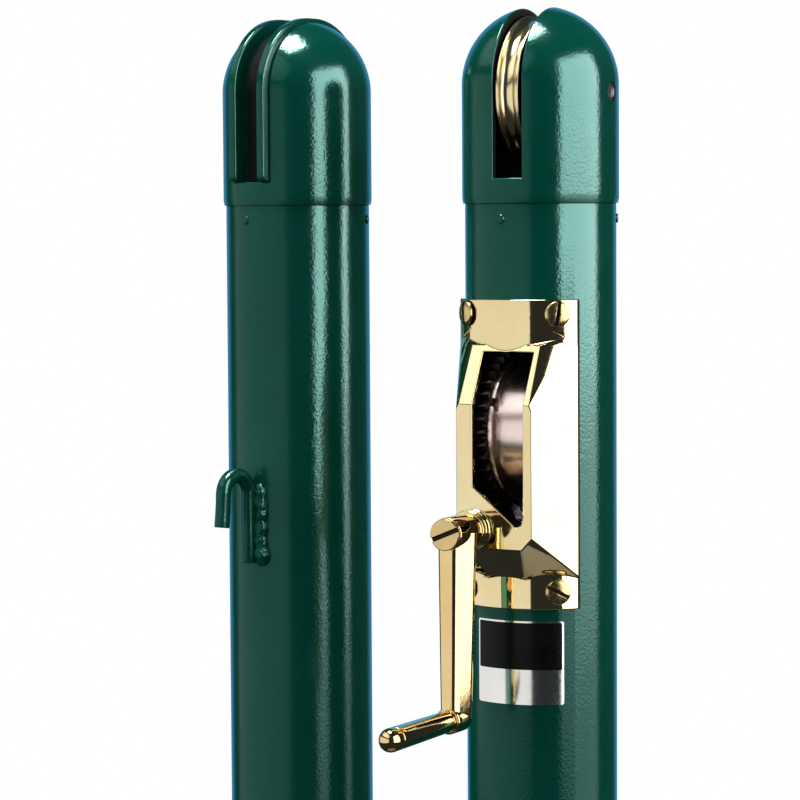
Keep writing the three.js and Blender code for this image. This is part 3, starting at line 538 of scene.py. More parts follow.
def matte(name, deep, light, roughness, grain_scale, grain_depth, gloss=0.5):
    """A dull finish with a fine grain."""
    material, tree, surface = finish(name)
    grain = noise(tree, grain_scale, 4)
    looks = {
        "Base Color": tones(tree, MATTE_CLOUDS, 5, deep, light),
        "Roughness": spread(tree, grain, *roughness),
        "Normal": bump(tree, [(grain, grain_depth)]),
        "Specular IOR Level": gloss,
    }
    fill(tree, surface, looks)
    return material


# Cycles per metre of the slow changes of tone and the grain
PAINT_CLOUDS = 18
PAINT_HAZE = 90
METAL_CLOUDS = 35
METAL_WAVES = 30
METAL_GRAIN = 420
MATTE_CLOUDS = 60

PAINT_DEEP = (0.0004, 0.042, 0.028)
PAINT_LIGHT = (0.0006, 0.052, 0.035)
PAINT_SHEEN = (0.5, 1, 0.9)
PAINT_ROUGHNESS = (0.1, 0.16)
POLISHED = (0.03, 0.09)
SATIN = (0.16, 0.22)
SANDED = (0.2, 0.28)
DULL_GLOSS = 0.12

paint = gloss_paint("gloss_paint", ((700, 0.1 * MM), (110, 0.05 * MM)))
weld_paint = gloss_paint("weld_paint", ((520, 0.14 * MM), (330, 1.2 * MM)))
brass = metal("polished_brass", (0.84, 0.68, 0.36), (0.92, 0.77, 0.45), POLISHED)
crank_brass = metal("crank_brass", (0.82, 0.59, 0.26), (0.89, 0.68, 0.34), POLISHED)
pulley_brass = metal("pulley_brass", (0.88, 0.73, 0.42), (0.95, 0.81, 0.5), SATIN, 0.002 * MM, 0.02 * MM)
screw_brass = metal("turned_brass", (0.66, 0.48, 0.2), (0.8, 0.62, 0.3), (0.14, 0.3), 0.03 * MM)
steel = metal("satin_steel", (0.42, 0.42, 0.43), (0.56, 0.56, 0.57), (0.22, 0.38), 0.02 * MM, grain=(1, 1, 6))
bronze = metal("bronze", (0.42, 0.25, 0.11), (0.52, 0.33, 0.16), (0.28, 0.45), 0.02 * MM)
drum_metal = metal("drum_metal", (0.97, 0.74, 0.69), (1, 0.84, 0.79), SANDED, 0.03 * MM, grain=(40, 1, 1))
dark_iron = metal("oiled_iron", (0.05, 0.045, 0.04), (0.12, 0.1, 0.085), (0.25, 0.5), 0.06 * MM)
nickel = metal("plate_nickel", (0.8, 0.79, 0.76), (0.9, 0.89, 0.86), (0.1, 0.16), 0.004 * MM, 0.04 * MM)
rubber = matte("rubber", (0.012, 0.012, 0.012), (0.022, 0.022, 0.021), (0.6, 0.85), 900, 0.08 * MM)
# Painted shade: near black, on the insides of the tubes, caps, spigots and housing, on the slot's sides and
# on the guide channel's floor
painted_shade = matte(
    "painted_shade", (0.0015, 0.0018, 0.0015), (0.004, 0.0045, 0.004), (0.8, 0.95), 500, 0.1 * MM, DULL_GLOSS
)
# Painted shade: near black, in the screws' slots, on their heads' sides and along the outer edge of the
# housing's flange
painted_crease_shade = matte("painted_crease_shade", (0.012, 0.009, 0.005), (0.03, 0.022, 0.012), (0.6, 0.8), 400, 0.1 * MM, DULL_GLOSS)
enamel = matte(
    "plate_enamel", (0.002, 0.0022, 0.0025), (0.005, 0.0055, 0.006), (0.2, 0.35), 600, 0.01 * MM, DULL_GLOSS
)


# Posts


def post_tube(name, cutters=()):
    bore = TUBE_RADIUS - TUBE_WALL
    outline = soften([(bore, TUBE_FOOT), (TUBE_RADIUS, TUBE_FOOT), (TUBE_RADIUS, RIM), (bore, RIM)], EDGE)
    tube = lathe(name, outline, "up", (0, 0, 0))
    if cutters:
        cut(tube, cutters)
    return tube


def in_bore(centre, normal):
    return math.hypot(centre.x, centre.y) < TUBE_RADIUS - TUBE_WALL / 2


def post_foot(name):
    low, high = level_ends("winding_post_foot")
    plug = TUBE_RADIUS - TUBE_WALL - GAP
    outline = [(0, low), (TUBE_RADIUS, low), (TUBE_RADIUS, TUBE_FOOT)]
    outline += [(plug, TUBE_FOOT), (plug, high), (0, high)]
    return lathe(name, soften(outline, EDGE), "up", (0, 0, 0))


def cap_shell(name, slot_half, sill):
    """A domed cap with a slot over the top, from a grid across and along the slot."""
    across, up, over = 128, 24, 96
    near_edge = range(-8, 9)
    columns = sorted(
        {hand * (slot_half + k * SLOT_STEP) for hand in (-1, 1) for k in near_edge}
        | {CAP_RADIUS * math.sin(math.pi * (k / across - 0.5)) for k in range(across + 1)}
    )
    columns = thin_out(columns, GRID_STEP, [-slot_half, slot_half, -CAP_RADIUS, CAP_RADIUS])
    sill_z = RIM + sill
    heights = sorted(
        {sill_z + k * SLOT_STEP for k in near_edge} | {RIM + (SPRING - RIM) * k / up for k in range(up + 1)}
    )
    heights = thin_out(heights, GRID_STEP, [sill_z, RIM, SPRING])
    rows = [("front", z) for z in heights] + [("arc", math.pi * k / over) for k in range(1, over)]
    rows += [("rear", z) for z in reversed(heights)]

    def on_shell(x, row, radius):
        kind, at = row
        r = math.sqrt(max(radius**2 - x**2, 0))
        if kind == "arc":
            return Vector((x, -r * math.cos(at), SPRING + r * math.sin(at)))
        return Vector((x, -r if kind == "front" else r, at))

    def depth(x, row):
        """How far the rounded edge of the slot lies below the cap's surface."""
        kind, at = row
        beside = abs(x) - slot_half
        if kind == "arc" or at >= sill_z:
            near = beside
        elif beside <= 0:
            near = sill_z - at
        else:
            near = math.hypot(beside, sill_z - at)
        return max(fall(max(near, 0), SLOT_EDGE), rim_depth(row))

    def rim_depth(row):
        """The same for the rounded lower rim."""
        kind, at = row
        return 0 if kind == "arc" else fall(at - RIM, EDGE)

    def fall(near, radius):
        """The drop of a rounded edge at a distance from it."""
        return radius - math.sqrt(radius**2 - (radius - near) ** 2) if near < radius else 0

    def is_open(x0, x1, row0, row1):
        """Whether a cell of the grid lies in the slot."""
        within = max(abs(x0), abs(x1)) <= slot_half + MERGE
        above = all(row[0] == "arc" or row[1] >= sill_z - MERGE for row in (row0, row1))
        return within and above

    faces, wide, inner = [], len(columns), CAP_RADIUS - CAP_WALL
    points = [on_shell(x, row, CAP_RADIUS - depth(x, row)) for row in rows for x in columns]
    points += [on_shell(max(-inner, min(inner, x)), row, inner) for row in rows for x in columns]
    shell = len(rows) * wide
    solid = {
        (i, j)
        for i in range(len(rows) - 1)
        for j in range(wide - 1)
        if not is_open(columns[j], columns[j + 1], rows[i], rows[i + 1])
    }
    for i, j in solid:
        a, d = i * wide + j, (i + 1) * wide + j
        b, c = a + 1, d + 1
        faces += [(a, b, c, d), (shell + d, shell + c, shell + b, shell + a)]
        beyond = ((i - 1, j), (i, j + 1), (i + 1, j), (i, j - 1))
        for cell, (p, q) in zip(beyond, ((a, b), (b, c), (c, d), (d, a))):
            at_pole = not 0 <= cell[1] < wide - 1
            if cell not in solid and not at_pole:
                faces.append((q, p, shell + p, shell + q))
    return mesh_piece(name, points, faces)


def thin_out(values, least, kept):
    """Sorted values at least so far apart, in which the kept ones stay."""

    def is_kept(value):
        return any(abs(value - k) < MERGE / 100 for k in kept)

    chosen = []
    for value in values:
        if not chosen or value - chosen[-1] >= least:
            chosen.append(value)
        elif is_kept(value) and not is_kept(chosen[-1]):
            chosen[-1] = value
    return chosen


def in_cap(centre, normal):
    """Whether a face lies on the inside of a cap or on the sides of its slot, which get painted shade."""
    over = Vector((centre.x, centre.y, max(centre.z - SPRING, 0)))
    return over.length < CAP_RADIUS - CAP_SKIN


def spigot(name):
    """The part of a cap that stands in the tube."""
    outer = TUBE_RADIUS - TUBE_WALL - GAP
    outline = [(outer - CAP_WALL, SPIGOT_FOOT), (outer, SPIGOT_FOOT), (outer, RIM), (CAP_RADIUS - EDGE, RIM)]
    outline += [(CAP_RADIUS - CAP_WALL, RIM + CAP_WALL), (outer - CAP_WALL, RIM)]
    return lathe(name, outline, "up", (0, 0, 0))


def cap_screw(name, angle):
    """A small screw whose low head is painted over."""
    radius, head, inner_end = CAP_SCREW_RADIUS, CAP_SCREW_HEAD, TUBE_RADIUS - CAP_SCREW_LENGTH
    outline = [(0, inner_end), (radius, inner_end), (radius, TUBE_RADIUS + head / 3)]
    outline += [(0.8 * radius, TUBE_RADIUS + 0.85 * head), (0, TUBE_RADIUS + head)]
    screw = lathe(name, soften(outline, head / 2), "reach", (0, 0, CAP_SCREW_LEVEL), SMALL_SEGMENTS)
    return swing(screw, angle)


# Level, angle round the post and turn of the slot of each housing screw
HOUSING_SCREWS = [
    (level, hand * SCREW_ANGLE, math.radians(turn))
    for level, turns in ((HOUSING_TOP - 7.1 * MM, (4, -8)), (HOUSING_FOOT + 9 * MM, (-28, 62)))
    for hand, turn in zip((-1, 1), turns)
]
opening = block((-OPENING_HALF, 0, OPENING_FOOT), (OPENING_HALF, 2 * TUBE_RADIUS, OPENING_TOP))
screw_holes = [
    swing(pin(SCREW_HOLE, (TUBE_RADIUS / 2, 2 * TUBE_RADIUS), "reach", (0, 0, level), HOLE_SEGMENTS), angle)
    for level, angle, _ in HOUSING_SCREWS
]
winding_tube = post_tube("winding_tube", [opening, *screw_holes])
dress(winding_tube, "posts", "green_paint", paint, "winding_post_tube")
# The bore gets painted shade
line_inside(winding_tube, painted_shade, in_bore)
anchor_tube = dress(post_tube("anchor_tube"), "posts", "green_paint", paint, "anchor_post_tube")
# The bore gets painted shade
line_inside(anchor_tube, painted_shade, in_bore)
place_on_anchor(anchor_tube)
dress(post_foot("winding_foot"), "posts", "foot_rubber", rubber, "winding_post_foot")
dress(place_on_anchor(post_foot("anchor_foot")), "posts", "foot_rubber", rubber, "anchor_post_foot")

winding_cap = cap_shell("winding_cap", SLOT_HALF, SLOT_SILL)
cut(winding_cap, [pin(AXLE_RADIUS + GAP, (-CAP_RADIUS - MM, CAP_RADIUS + MM), "side", PULLEY_CENTRE)])
dress(winding_cap, "posts", "green_paint", paint, "winding_post_cap")
# The inside of the cap and the sides of its slot get painted shade
line_inside(winding_cap, painted_shade, in_cap)
anchor_cap = cap_shell("anchor_cap", GUIDE_HALF + GAP, SLOT_SILL - GAP)
dress(anchor_cap, "posts", "green_paint", paint, "anchor_post_cap")
# The inside of the cap and the sides of its slot get painted shade
line_inside(anchor_cap, painted_shade, in_cap)
place_on_anchor(anchor_cap)
# The spigots are wholly in painted shade
dress(spigot("winding_spigot"), "posts", "green_paint", painted_shade)
dress(place_on_anchor(spigot("anchor_spigot")), "posts", "green_paint", painted_shade)
for i, angle in enumerate(CAP_SCREW_ANGLES, 1):
    label = f"cap_screw_{i}"
    dress(cap_screw(f"winding_{label}_head", angle), "posts", "green_paint", paint, f"winding_{label}")
    on_anchor = place_on_anchor(cap_screw(f"anchor_{label}_head", angle))
    dress(on_anchor, "posts", "green_paint", paint, f"anchor_{label}")


# Pulley and axle


def pulley_outline():
    """The wheel's section as (radius, side) points: hub, web, rim and the round groove."""
    half, groove_half, steps = PULLEY_HALF, PULLEY_HALF - PULLEY_LIP, 24
    bore = AXLE_RADIUS + RUNNING + BUSH_WALL + GAP
    groove = [
        (PULLEY_RADIUS - PULLEY_GROOVE * math.sin(a), -groove_half * math.cos(a))
        for a in (math.pi * k / steps for k in range(steps + 1))
    ]
    sides = [(bore, -half), (PULLEY_HUB, -half), (PULLEY_HUB, -PULLEY_WEB)]
    sides += [(PULLEY_RIM, -PULLEY_WEB), (PULLEY_RIM, -half), (PULLEY_RADIUS, -half)]
    return sides + groove + other_side(sides)


def other_side(outline):
    return [(radius, -side) for radius, side in reversed(outline)]


def bush(name, shaft, half, centre):
    """A sleeve that runs on a shaft of a given radius."""
    inner = shaft + RUNNING
    return ring(name, inner, inner + BUSH_WALL, (-half, half), "side", centre)


def collar(node, shaft, centre):
    """A ring fixed on a shaft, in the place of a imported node."""
    low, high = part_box(node)
    piece = ring(f"{node}_ring", shaft + GAP, half_height(node), (low.x, high.x), "side", (0, *centre.yz))
    dress(piece, "posts", "steel", steel, node)


pulley = lathe("pulley", soften(pulley_outline(), PULLEY_EDGE), "side", PULLEY_CENTRE, WHEEL_SEGMENTS)
dress(pulley, "pulley", "polished_brass", pulley_brass, "pulley_wheel")
pulley_sleeve = bush("pulley_sleeve", AXLE_RADIUS, PULLEY_HALF, PULLEY_CENTRE)
dress(pulley_sleeve, "pulley", "bronze", bronze, "pulley_bush")
axle_end = half_width("pulley_axle")
axle_inner = AXLE_RADIUS - AXLE_RIM
axle_outline = [(0, AXLE_RECESS - axle_end), (axle_inner, AXLE_RECESS - axle_end)]
axle_outline += [(axle_inner, -axle_end), (AXLE_RADIUS, -axle_end)]
axle_outline += other_side(axle_outline)
axle = lathe("axle", soften(axle_outline, AXLE_EDGE), "side", PULLEY_CENTRE, SMALL_SEGMENTS)
dress(axle, "posts", "steel", steel, "pulley_axle")
for node in ("axle_spacer_left", "axle_spacer_right"):
    collar(node, AXLE_RADIUS, PULLEY_CENTRE)


# Winder: housing, screws, gear and drum


def slot_cutter(half_length, width, base, top, turn):
    """A block that cuts a screw's slot, turned round the screw's own axis."""
    cutter = block((-half_length, base, -width / 2), (half_length, top, width / 2))
    cutter.data.transform(Matrix.Rotation(-turn, 4, "Y"))
    return cutter


def dome(radius, base, rise, steps):
    """Half the outline of a dome, from its rim to its top."""
    turns = [math.pi / 2 * k / steps for k in range(steps)]
    return [(radius * math.cos(a), base + rise * math.sin(a)) for a in turns] + [(0, base + rise)]


def housing_screw(name, level, angle, turn):
    """A slotted screw with a low domed head on the flange."""
    head, height, straight = SCREW_HEAD, SCREW_HEAD_HEIGHT, SCREW_STRAIGHT
    outline = [(0, -SCREW_LENGTH), (SCREW_SHANK, -SCREW_LENGTH), (SCREW_SHANK, 0)]
    outline += [(head - FINE, 0), (head, FINE), (head, HEAD_SHADE_TOP)]
    outline += dome(head, straight, height - straight, 12)
    screw = lathe(name, outline, "reach", (0, 0, 0), TURNED_SEGMENTS)
    cut(screw, [slot_cutter(head + MM, SCREW_SLOT, SCREW_SLOT_FLOOR, height + MM, math.pi / 2 + turn)])
    round_edges(screw, SCREW_EDGE, 2, SLOT_CORNER)
    screw.data.transform(Matrix.Translation((0, -FLANGE_RADIUS - GAP, level)))
    return swing(screw, angle)


def where_shade_is_painted(centre_line, axis, head, shade_top, slot_floor):
    """A test for the faces in a screw's slot and on the side of its head, up to a level along the axis, that
    get painted shade.
    """

    def test(centre, normal):
        out = centre - Vector(centre_line)
        along = out.dot(axis)
        on_side = (out - axis * along).length > 0.95 * head
        in_slot = abs(normal.dot(axis)) < 0.5 or along < slot_floor + FINE
        return along < shade_top if on_side else in_slot

    return test


for i, (level, angle, turn) in enumerate(HOUSING_SCREWS, 1):
    screw = housing_screw(f"housing_screw_{i}_round", level, angle, turn)
    dress(screw, "posts", "polished_brass", screw_brass, f"housing_screw_{i}")
    axis = Vector((math.sin(angle), -math.cos(angle), 0))
    seat = FLANGE_RADIUS + GAP
    shade_test = where_shade_is_painted((0, 0, level), axis, SCREW_HEAD, seat + HEAD_SHADE_TOP, seat + SCREW_SLOT_FLOOR)
    # The slot and the head's side get painted shade
    line_inside(screw, painted_crease_shade, shade_test)


def in_housing(centre, normal):
    """Whether a face of the housing looks in towards the drum, and gets painted shade."""
    cavity = Vector((0, -CAVITY_REACH, min(max(centre.z, CAVITY_LOW), CAVITY_HIGH)))
    return (cavity - centre).normalized().dot(normal) > 0.7


def on_rim(centre, normal):
    """Whether a face lies on the outer edge of the housing's flange, which gets a painted dark line of shade.
    """
    return abs(math.atan2(centre.x, -centre.y)) > RIM_ANGLE


housing = copy_of("winder_housing", HOUSING_EDGE, 3, HOUSING_BEND, False, (-RIM_ANGLE, RIM_ANGLE))
dress(housing, "posts", "polished_brass", brass, "winder_housing")
# The inside of the housing gets painted shade
line_inside(housing, painted_shade, in_housing)
# The outer edge of the flange gets a painted dark line of shade
line_inside(housing, painted_crease_shade, on_rim)

drum_bore = SPINDLE_RADIUS + RUNNING + BUSH_WALL + GAP
left_inner, right_inner = DRUM_LEFT + DRUM_FLANGE_WIDTH, DRUM_RIGHT - DRUM_FLANGE_WIDTH
drum_outline = [(drum_bore, DRUM_LEFT), (DRUM_FLANGE, DRUM_LEFT), (DRUM_FLANGE, left_inner)]
drum_outline += [(DRUM_BARREL, left_inner), (DRUM_BARREL, right_inner)]
drum_outline += [(DRUM_FLANGE, right_inner), (DRUM_FLANGE, DRUM_RIGHT), (DRUM_HUB, DRUM_RIGHT)]
drum_outline += [(DRUM_HUB, DRUM_HUB_END), (drum_bore, DRUM_HUB_END)]
drum = lathe("drum", soften(drum_outline, DRUM_EDGE), "side", DRUM_CENTRE, WHEEL_SEGMENTS)
notch_way = Vector((0, -math.cos(NOTCH_ANGLE), math.sin(NOTCH_ANGLE)))
notch = DRUM_CENTRE + (DRUM_BARREL + DRUM_FLANGE) / 2 * notch_way
cut(drum, [pin(NOTCH_RADIUS, (DRUM_LEFT - MM, left_inner), "side", (0, *notch.yz))])
dress(drum, "drum", "drum_metal", drum_metal, "winding_drum")
drum_sleeve = bush("drum_sleeve", SPINDLE_RADIUS, DRUM_HUB_END, DRUM_CENTRE)
dress(drum_sleeve, "drum", "bronze", bronze, "drum_bush")
spindle_end = half_width("drum_spindle")
spindle = ring("spindle", 0, SPINDLE_RADIUS, (-spindle_end, spindle_end), "side", DRUM_CENTRE, EDGE)
dress(spindle, "posts", "steel", steel, "drum_spindle")
for node in ("spindle_clip_left", "spindle_clip_right"):
    collar(node, SPINDLE_RADIUS, DRUM_CENTRE)
dress(copy_of("worm_wheel", WHEEL_EDGE, 2, WHEEL_BEND), "drum", "dark_iron", dark_iron, "worm_wheel")


# Crank: bush, arm, screw and handle


def between(start, end, share):
    return start + (end - start) * share


def blade_section(half, flare, rear, front):
    """Half a section of the blade from its front's middle to its rear's: (side, reach) points."""
    corner, foot = BLADE_CORNER * half, BLADE_FOOT * (front - rear)
    points = [(0, front)]
    for k in range(11):
        turn = BLADE_TURN * k / 10
        points.append((half - corner + corner * math.sin(turn), front - corner * (1 - math.cos(turn))))
    side, reach = points[-1]
    for k in range(1, 9):
        points.append((between(side, half + flare, k / 8), between(reach, rear + foot, k / 8)))
    side, reach = points[-1]
    for k in range(1, 7):
        turn = math.pi / 2 * k / 6
        points.append((side - BLADE_HEEL * (1 - math.cos(turn)), between(reach, rear, math.sin(turn))))
    return points + [(0, rear)]


def crank_blade():
    """The blade from the hub down to the eye, narrower and thinner on its way."""
    steps, rings = 24, []
    for k in range(steps + 1):
        t = k / steps
        rear = between(ARM_REAR + ARM_HUB_LENGTH, EYE_REAR, t)
        section = blade_section(between(*BLADE_HALF, t), between(*BLADE_FLARE, t), rear, ARM_FRONT)
        loop = section + [(-side, reach) for side, reach in reversed(section[1:-1])]
        z = between(CRANK_LEVEL, HANDLE_LEVEL, t)
        rings.append([Vector((CRANK_SIDE + side, -reach, z)) for side, reach in loop])
    return loft("crank_blade", rings)


def loft(name, rings, sharp=SHARP):
    """A closed piece through rings of points, with flat ends."""
    count = len(rings[0])
    points = [point for loop in rings for point in loop]
    faces = [
        (i * count + j, i * count + (j + 1) % count, (i + 1) * count + (j + 1) % count, (i + 1) * count + j)
        for i in range(len(rings) - 1)
        for j in range(count)
    ]
    last = (len(rings) - 1) * count
    faces += [tuple(range(count)), tuple(reversed(range(last, last + count)))]
    return mesh_piece(name, points, faces, sharp)


def turned(name, outline, edge, centre):
    """A turned piece along the reach axis with rounded corners."""
    return lathe(name, soften(outline, edge), "reach", centre, TURNED_SEGMENTS)


dress(crank_blade(), "crank", "polished_brass", crank_brass, "crank_arm")
hub_outline = [(HUB_BORE, ARM_REAR), (HUB_RADIUS - HUB_CHAMFER, ARM_REAR)]
hub_outline += [(HUB_RADIUS, ARM_REAR + HUB_CHAMFER_LENGTH), (HUB_RADIUS, ARM_FRONT), (HUB_BORE, ARM_FRONT)]
dress(turned("crank_hub", hub_outline, HUB_EDGE, CRANK_CENTRE), "crank", "polished_brass", crank_brass)
eye = ring("crank_eye", HANDLE_BORE, EYE_RADIUS, (EYE_REAR, ARM_FRONT), "reach", HANDLE_CENTRE, EYE_EDGE)
dress(eye, "crank", "polished_brass", crank_brass)

seat = ARM_FRONT + GAP
head_top, slot_floor = seat + CRANK_SCREW_HEIGHT, seat + CRANK_SLOT_FLOOR
shank_end = seat - CRANK_SCREW_LENGTH
screw_outline = [(0, shank_end), (CRANK_SCREW_SHANK, shank_end), (CRANK_SCREW_SHANK, seat)]
screw_outline += [(CRANK_SCREW_HEAD, seat), (CRANK_SCREW_HEAD, head_top), (0, head_top)]
crank_screw = turned("crank_screw_head", screw_outline, EDGE, CRANK_CENTRE)
slot = slot_cutter(CRANK_SCREW_HEAD + MM, CRANK_SCREW_SLOT, slot_floor, head_top + MM, CRANK_SCREW_TURN)
slot.data.transform(Matrix.Translation(CRANK_CENTRE))
cut(crank_screw, [slot])
round_edges(crank_screw, FINE, 2, SLOT_CORNER)
dress(crank_screw, "crank", "polished_brass", screw_brass, "crank_screw")
# The slot and the head's side get painted shade
shade_test = where_shade_is_painted(CRANK_CENTRE, Vector((0, -1, 0)), CRANK_SCREW_HEAD, seat, slot_floor)
line_inside(crank_screw, painted_crease_shade, shade_test)

grip_rear, grip_front = reach_ends("handle_grip")
grip_bore = HANDLE_BORE + RUNNING
taper = [
    (between(GRIP_REAR_RADIUS, GRIP_RADIUS, t), between(grip_rear, grip_front, t))
    for t in (k / 12 for k in range(13))
]
grip = turned("grip", [(grip_bore, grip_rear), *taper, (grip_bore, grip_front)], EDGE, HANDLE_CENTRE)
dress(grip, "grip", "polished_brass", crank_brass, "handle_grip")
handle_front, head_rear = reach_ends("handle_spindle")[1], grip_front + RUNNING
handle_outline = [(0, EYE_REAR), (HANDLE_BORE, EYE_REAR), (HANDLE_BORE, head_rear)]
handle_outline += [(GRIP_RADIUS - HANDLE_EDGE, head_rear), (GRIP_RADIUS, head_rear + HANDLE_EDGE)]
handle_outline += dome(GRIP_RADIUS, handle_front - GRIP_RADIUS, GRIP_RADIUS, 16)
handle = lathe("handle_pin", handle_outline, "reach", HANDLE_CENTRE, TURNED_SEGMENTS)
dress(handle, "crank", "polished_brass", crank_brass, "handle_spindle")

bush_rear, bush_front = reach_ends("front_bush")
flange_rear = bush_front - BUSH_FLANGE_WIDTH
bush_outline = [(BUSH_BORE, bush_rear), (BUSH_RADIUS, bush_rear), (BUSH_RADIUS, flange_rear)]
bush_outline += [(BUSH_FLANGE, flange_rear), (BUSH_FLANGE, bush_front), (BUSH_BORE, bush_front)]
front_bush = turned("front_bush_turned", bush_outline, BUSH_EDGE, CRANK_CENTRE)
dress(front_bush, "posts", "polished_brass", brass, "front_bush")


# Plate


def curved_sheet(name, radii, half_angle, ends, corner):
    """A sheet round the tube with rounded corners, centred on the plate."""
    across, down = 48, 40
    half_length, half_height, middle_z = half_angle * radii[1], (ends[1] - ends[0]) / 2, sum(ends) / 2

    def half_at(z):
        """Half the sheet's length at a height from its middle."""
        over = abs(z) - (half_height - corner)
        return half_length - (corner - math.sqrt(max(corner**2 - over**2, 0)) if over > 0 else 0)

    rows = [half_height * math.sin(math.pi / 2 * (2 * k / down - 1)) for k in range(down + 1)]
    points, faces = [], []
    for radius in radii:
        for z in rows:
            for k in range(across + 1):
                angle = PLATE_TURN + half_at(z) * (2 * k / across - 1) / radii[1]
                points.append((radius * math.sin(angle), -radius * math.cos(angle), middle_z + z))
    wide, sheet = across + 1, (down + 1) * (across + 1)
    for i in range(down):
        for j in range(across):
            a, d = i * wide + j, (i + 1) * wide + j
            b, c = a + 1, d + 1
            faces += [(a, b, c, d), (sheet + d, sheet + c, sheet + b, sheet + a)]
    border = list(range(wide)) + [i * wide + across for i in range(1, down + 1)]
    border += [down * wide + j for j in range(across - 1, -1, -1)]
    border += [i * wide for i in range(down - 1, 0, -1)]
    for p, q in zip(border, border[1:] + border[:1]):
        faces.append((p, q, sheet + q, sheet + p))
    return mesh_piece(name, points, faces)


plate_outer = PLATE_INNER + PLATE_THICK
radii, ends = (PLATE_INNER, plate_outer - PLATE_STEP), (PLATE_FOOT, PLATE_TOP)
plate = curved_sheet("plate", radii, PLATE_HALF, ends, PLATE_CORNER)
dress(plate, "posts", "plate_enamel", nickel, "blank_plate")
radii = (PLATE_INNER + PLATE_THICK / 2, plate_outer)
ends = (PLATE_FOOT + FIELD_FOOT, PLATE_TOP - FIELD_MARGIN)
field = curved_sheet("plate_field", radii, PLATE_HALF - FIELD_MARGIN / TUBE_RADIUS, ends, FIELD_CORNER)
dress(field, "posts", "plate_enamel", enamel)


# Anchor post: guide, hook and weld


def cable_guide():
    """A channel bent over the cap, from rings of (side, height) points with heights above its floor."""
    floor_radius, foot = CAP_RADIUS - GUIDE_DEPTH, RIM + SLOT_SILL
    outline = [(GUIDE_CHANNEL_HALF, 0), (GUIDE_CHANNEL_HALF, GUIDE_DEPTH)]
    outline += [(GUIDE_HALF, GUIDE_DEPTH), (GUIDE_HALF, -GUIDE_FLOOR)]
    outline += [(-side, height) for side, height in reversed(outline)]
    section = soften(outline, GUIDE_LIP, 6)
    legs = [foot + (SPRING - foot) * (k / 30) ** 1.6 for k in range(30)]
    arc = [math.pi / 2 * k / 48 for k in range(49)]

    def place(side, height, row):
        kind, at = row
        proud = GUIDE_PROUD * max(height, 0) / GUIDE_DEPTH
        radius = floor_radius + height
        if kind == "leg":
            rise = min((at - foot) / GUIDE_RISE, 1)
            return Vector((side, -(radius + proud * math.sqrt(rise * (2 - rise))), at))
        return Vector((side, -(proud + radius * math.cos(at)), SPRING + radius * math.sin(at)))

    front = [("leg", z) for z in legs] + [("arc", a) for a in arc]
    rings = [[place(side, height, row) for side, height in section] for row in front]
    rear = [[Vector((p.x, -p.y, p.z)) for p in loop] for loop in reversed(rings)]
    return loft("guide_channel", rings + rear)


def in_channel(centre, normal):
    """Whether a face of the guide is the floor of its channel, which gets painted shade."""
    out = math.hypot(centre.y, max(centre.z - SPRING, 0))
    return abs(centre.x) < GUIDE_CHANNEL_HALF - GAP and out > CHANNEL_OUT


def sweep_bar(name, route, radius):
    """A round bar through a route of points in the plane of reach and height, with softened ends."""
    points, across = [Vector(p) for p in route], Vector((1, 0, 0))
    last = len(points) - 1
    turns = [2 * math.pi * j / BAR_SEGMENTS for j in range(BAR_SEGMENTS)]
    soft = [math.pi / 2 * k / 4 for k in range(5)]
    rings = []
    for i, point in enumerate(points):
        ahead = (points[min(i + 1, last)] - points[max(i - 1, 0)]).normalized()
        out = ahead.cross(across).normalized()
        stops = [(0, 1)]
        if i in (0, last):
            way, thin = 1 if i == 0 else -1, BAR_END / radius
            stops = [(way * BAR_END * (1 - math.cos(a)), 1 - thin * (1 - math.sin(a))) for a in soft][::way]
        for shift, scale in stops:
            centre, wide = point + ahead * shift, radius * scale
            rings.append([centre + (across * math.cos(a) + out * math.sin(a)) * wide for a in turns])
    return loft(name, rings)


def cable_hook():
    inner_reach = TUBE_RADIUS + GAP + HOOK_BAR
    bend = HOOK_SPREAD / 2
    level = HOOK_TOP - HOOK_BAR - bend
    route = [(0, -inner_reach, level - HOOK_INNER_LEG), (0, -inner_reach, level - HOOK_INNER_LEG / 2)]
    for k in range(33):
        a = math.pi * (1 - k / 32)
        route.append((0, -(inner_reach + bend + bend * math.cos(a)), level + bend * math.sin(a)))
    for k in range(1, 5):
        splay = HOOK_SPLAY * (k / 4) ** 1.5
        route.append((0, -(inner_reach + HOOK_SPREAD + splay), level - HOOK_OUTER_LEG * k / 4))
    return sweep_bar("hook_bar", route, HOOK_BAR)


def weld():
    """A lumpy bead along the right side of the hook's inner leg, with a drop near its foot."""
    steps, rings = 96, []
    turns = [2 * math.pi * j / BAR_SEGMENTS for j in range(BAR_SEGMENTS)]
    for i in range(steps + 1):
        t = i / steps
        ends = math.sqrt(max(1 - abs(2 * t - 1) ** 7, 0.004))
        drop = math.exp(-(((t - WELD_DROP) / WELD_DROP) ** 2))
        swell = ends * (0.84 + ripple(t, WELD_LUMPS) + 0.2 * drop)
        middle_x = WELD_SIDE + ripple(t, WELD_LEANS) + 0.6 * MM * drop
        z = between(WELD_FOOT, WELD_TOP, t)
        rings.append([])
        for a in turns:
            rough = 1 + 0.05 * math.sin(5 * a + 23 * t)
            x, out = middle_x + WELD_SIDE * swell * math.cos(a), WELD_REACH * swell * math.sin(a) * rough
            rings[-1].append(Vector((x, -TUBE_RADIUS - out, z)))
    return loft("weld_bead", rings, math.radians(60))


def ripple(t, waves):
    """The sum of waves that are given as (size, rate, start)."""
    return sum(size * math.sin(rate * t + start) for size, rate, start in waves)


guide = dress(cable_guide(), "posts", "green_paint", paint, "cable_guide")
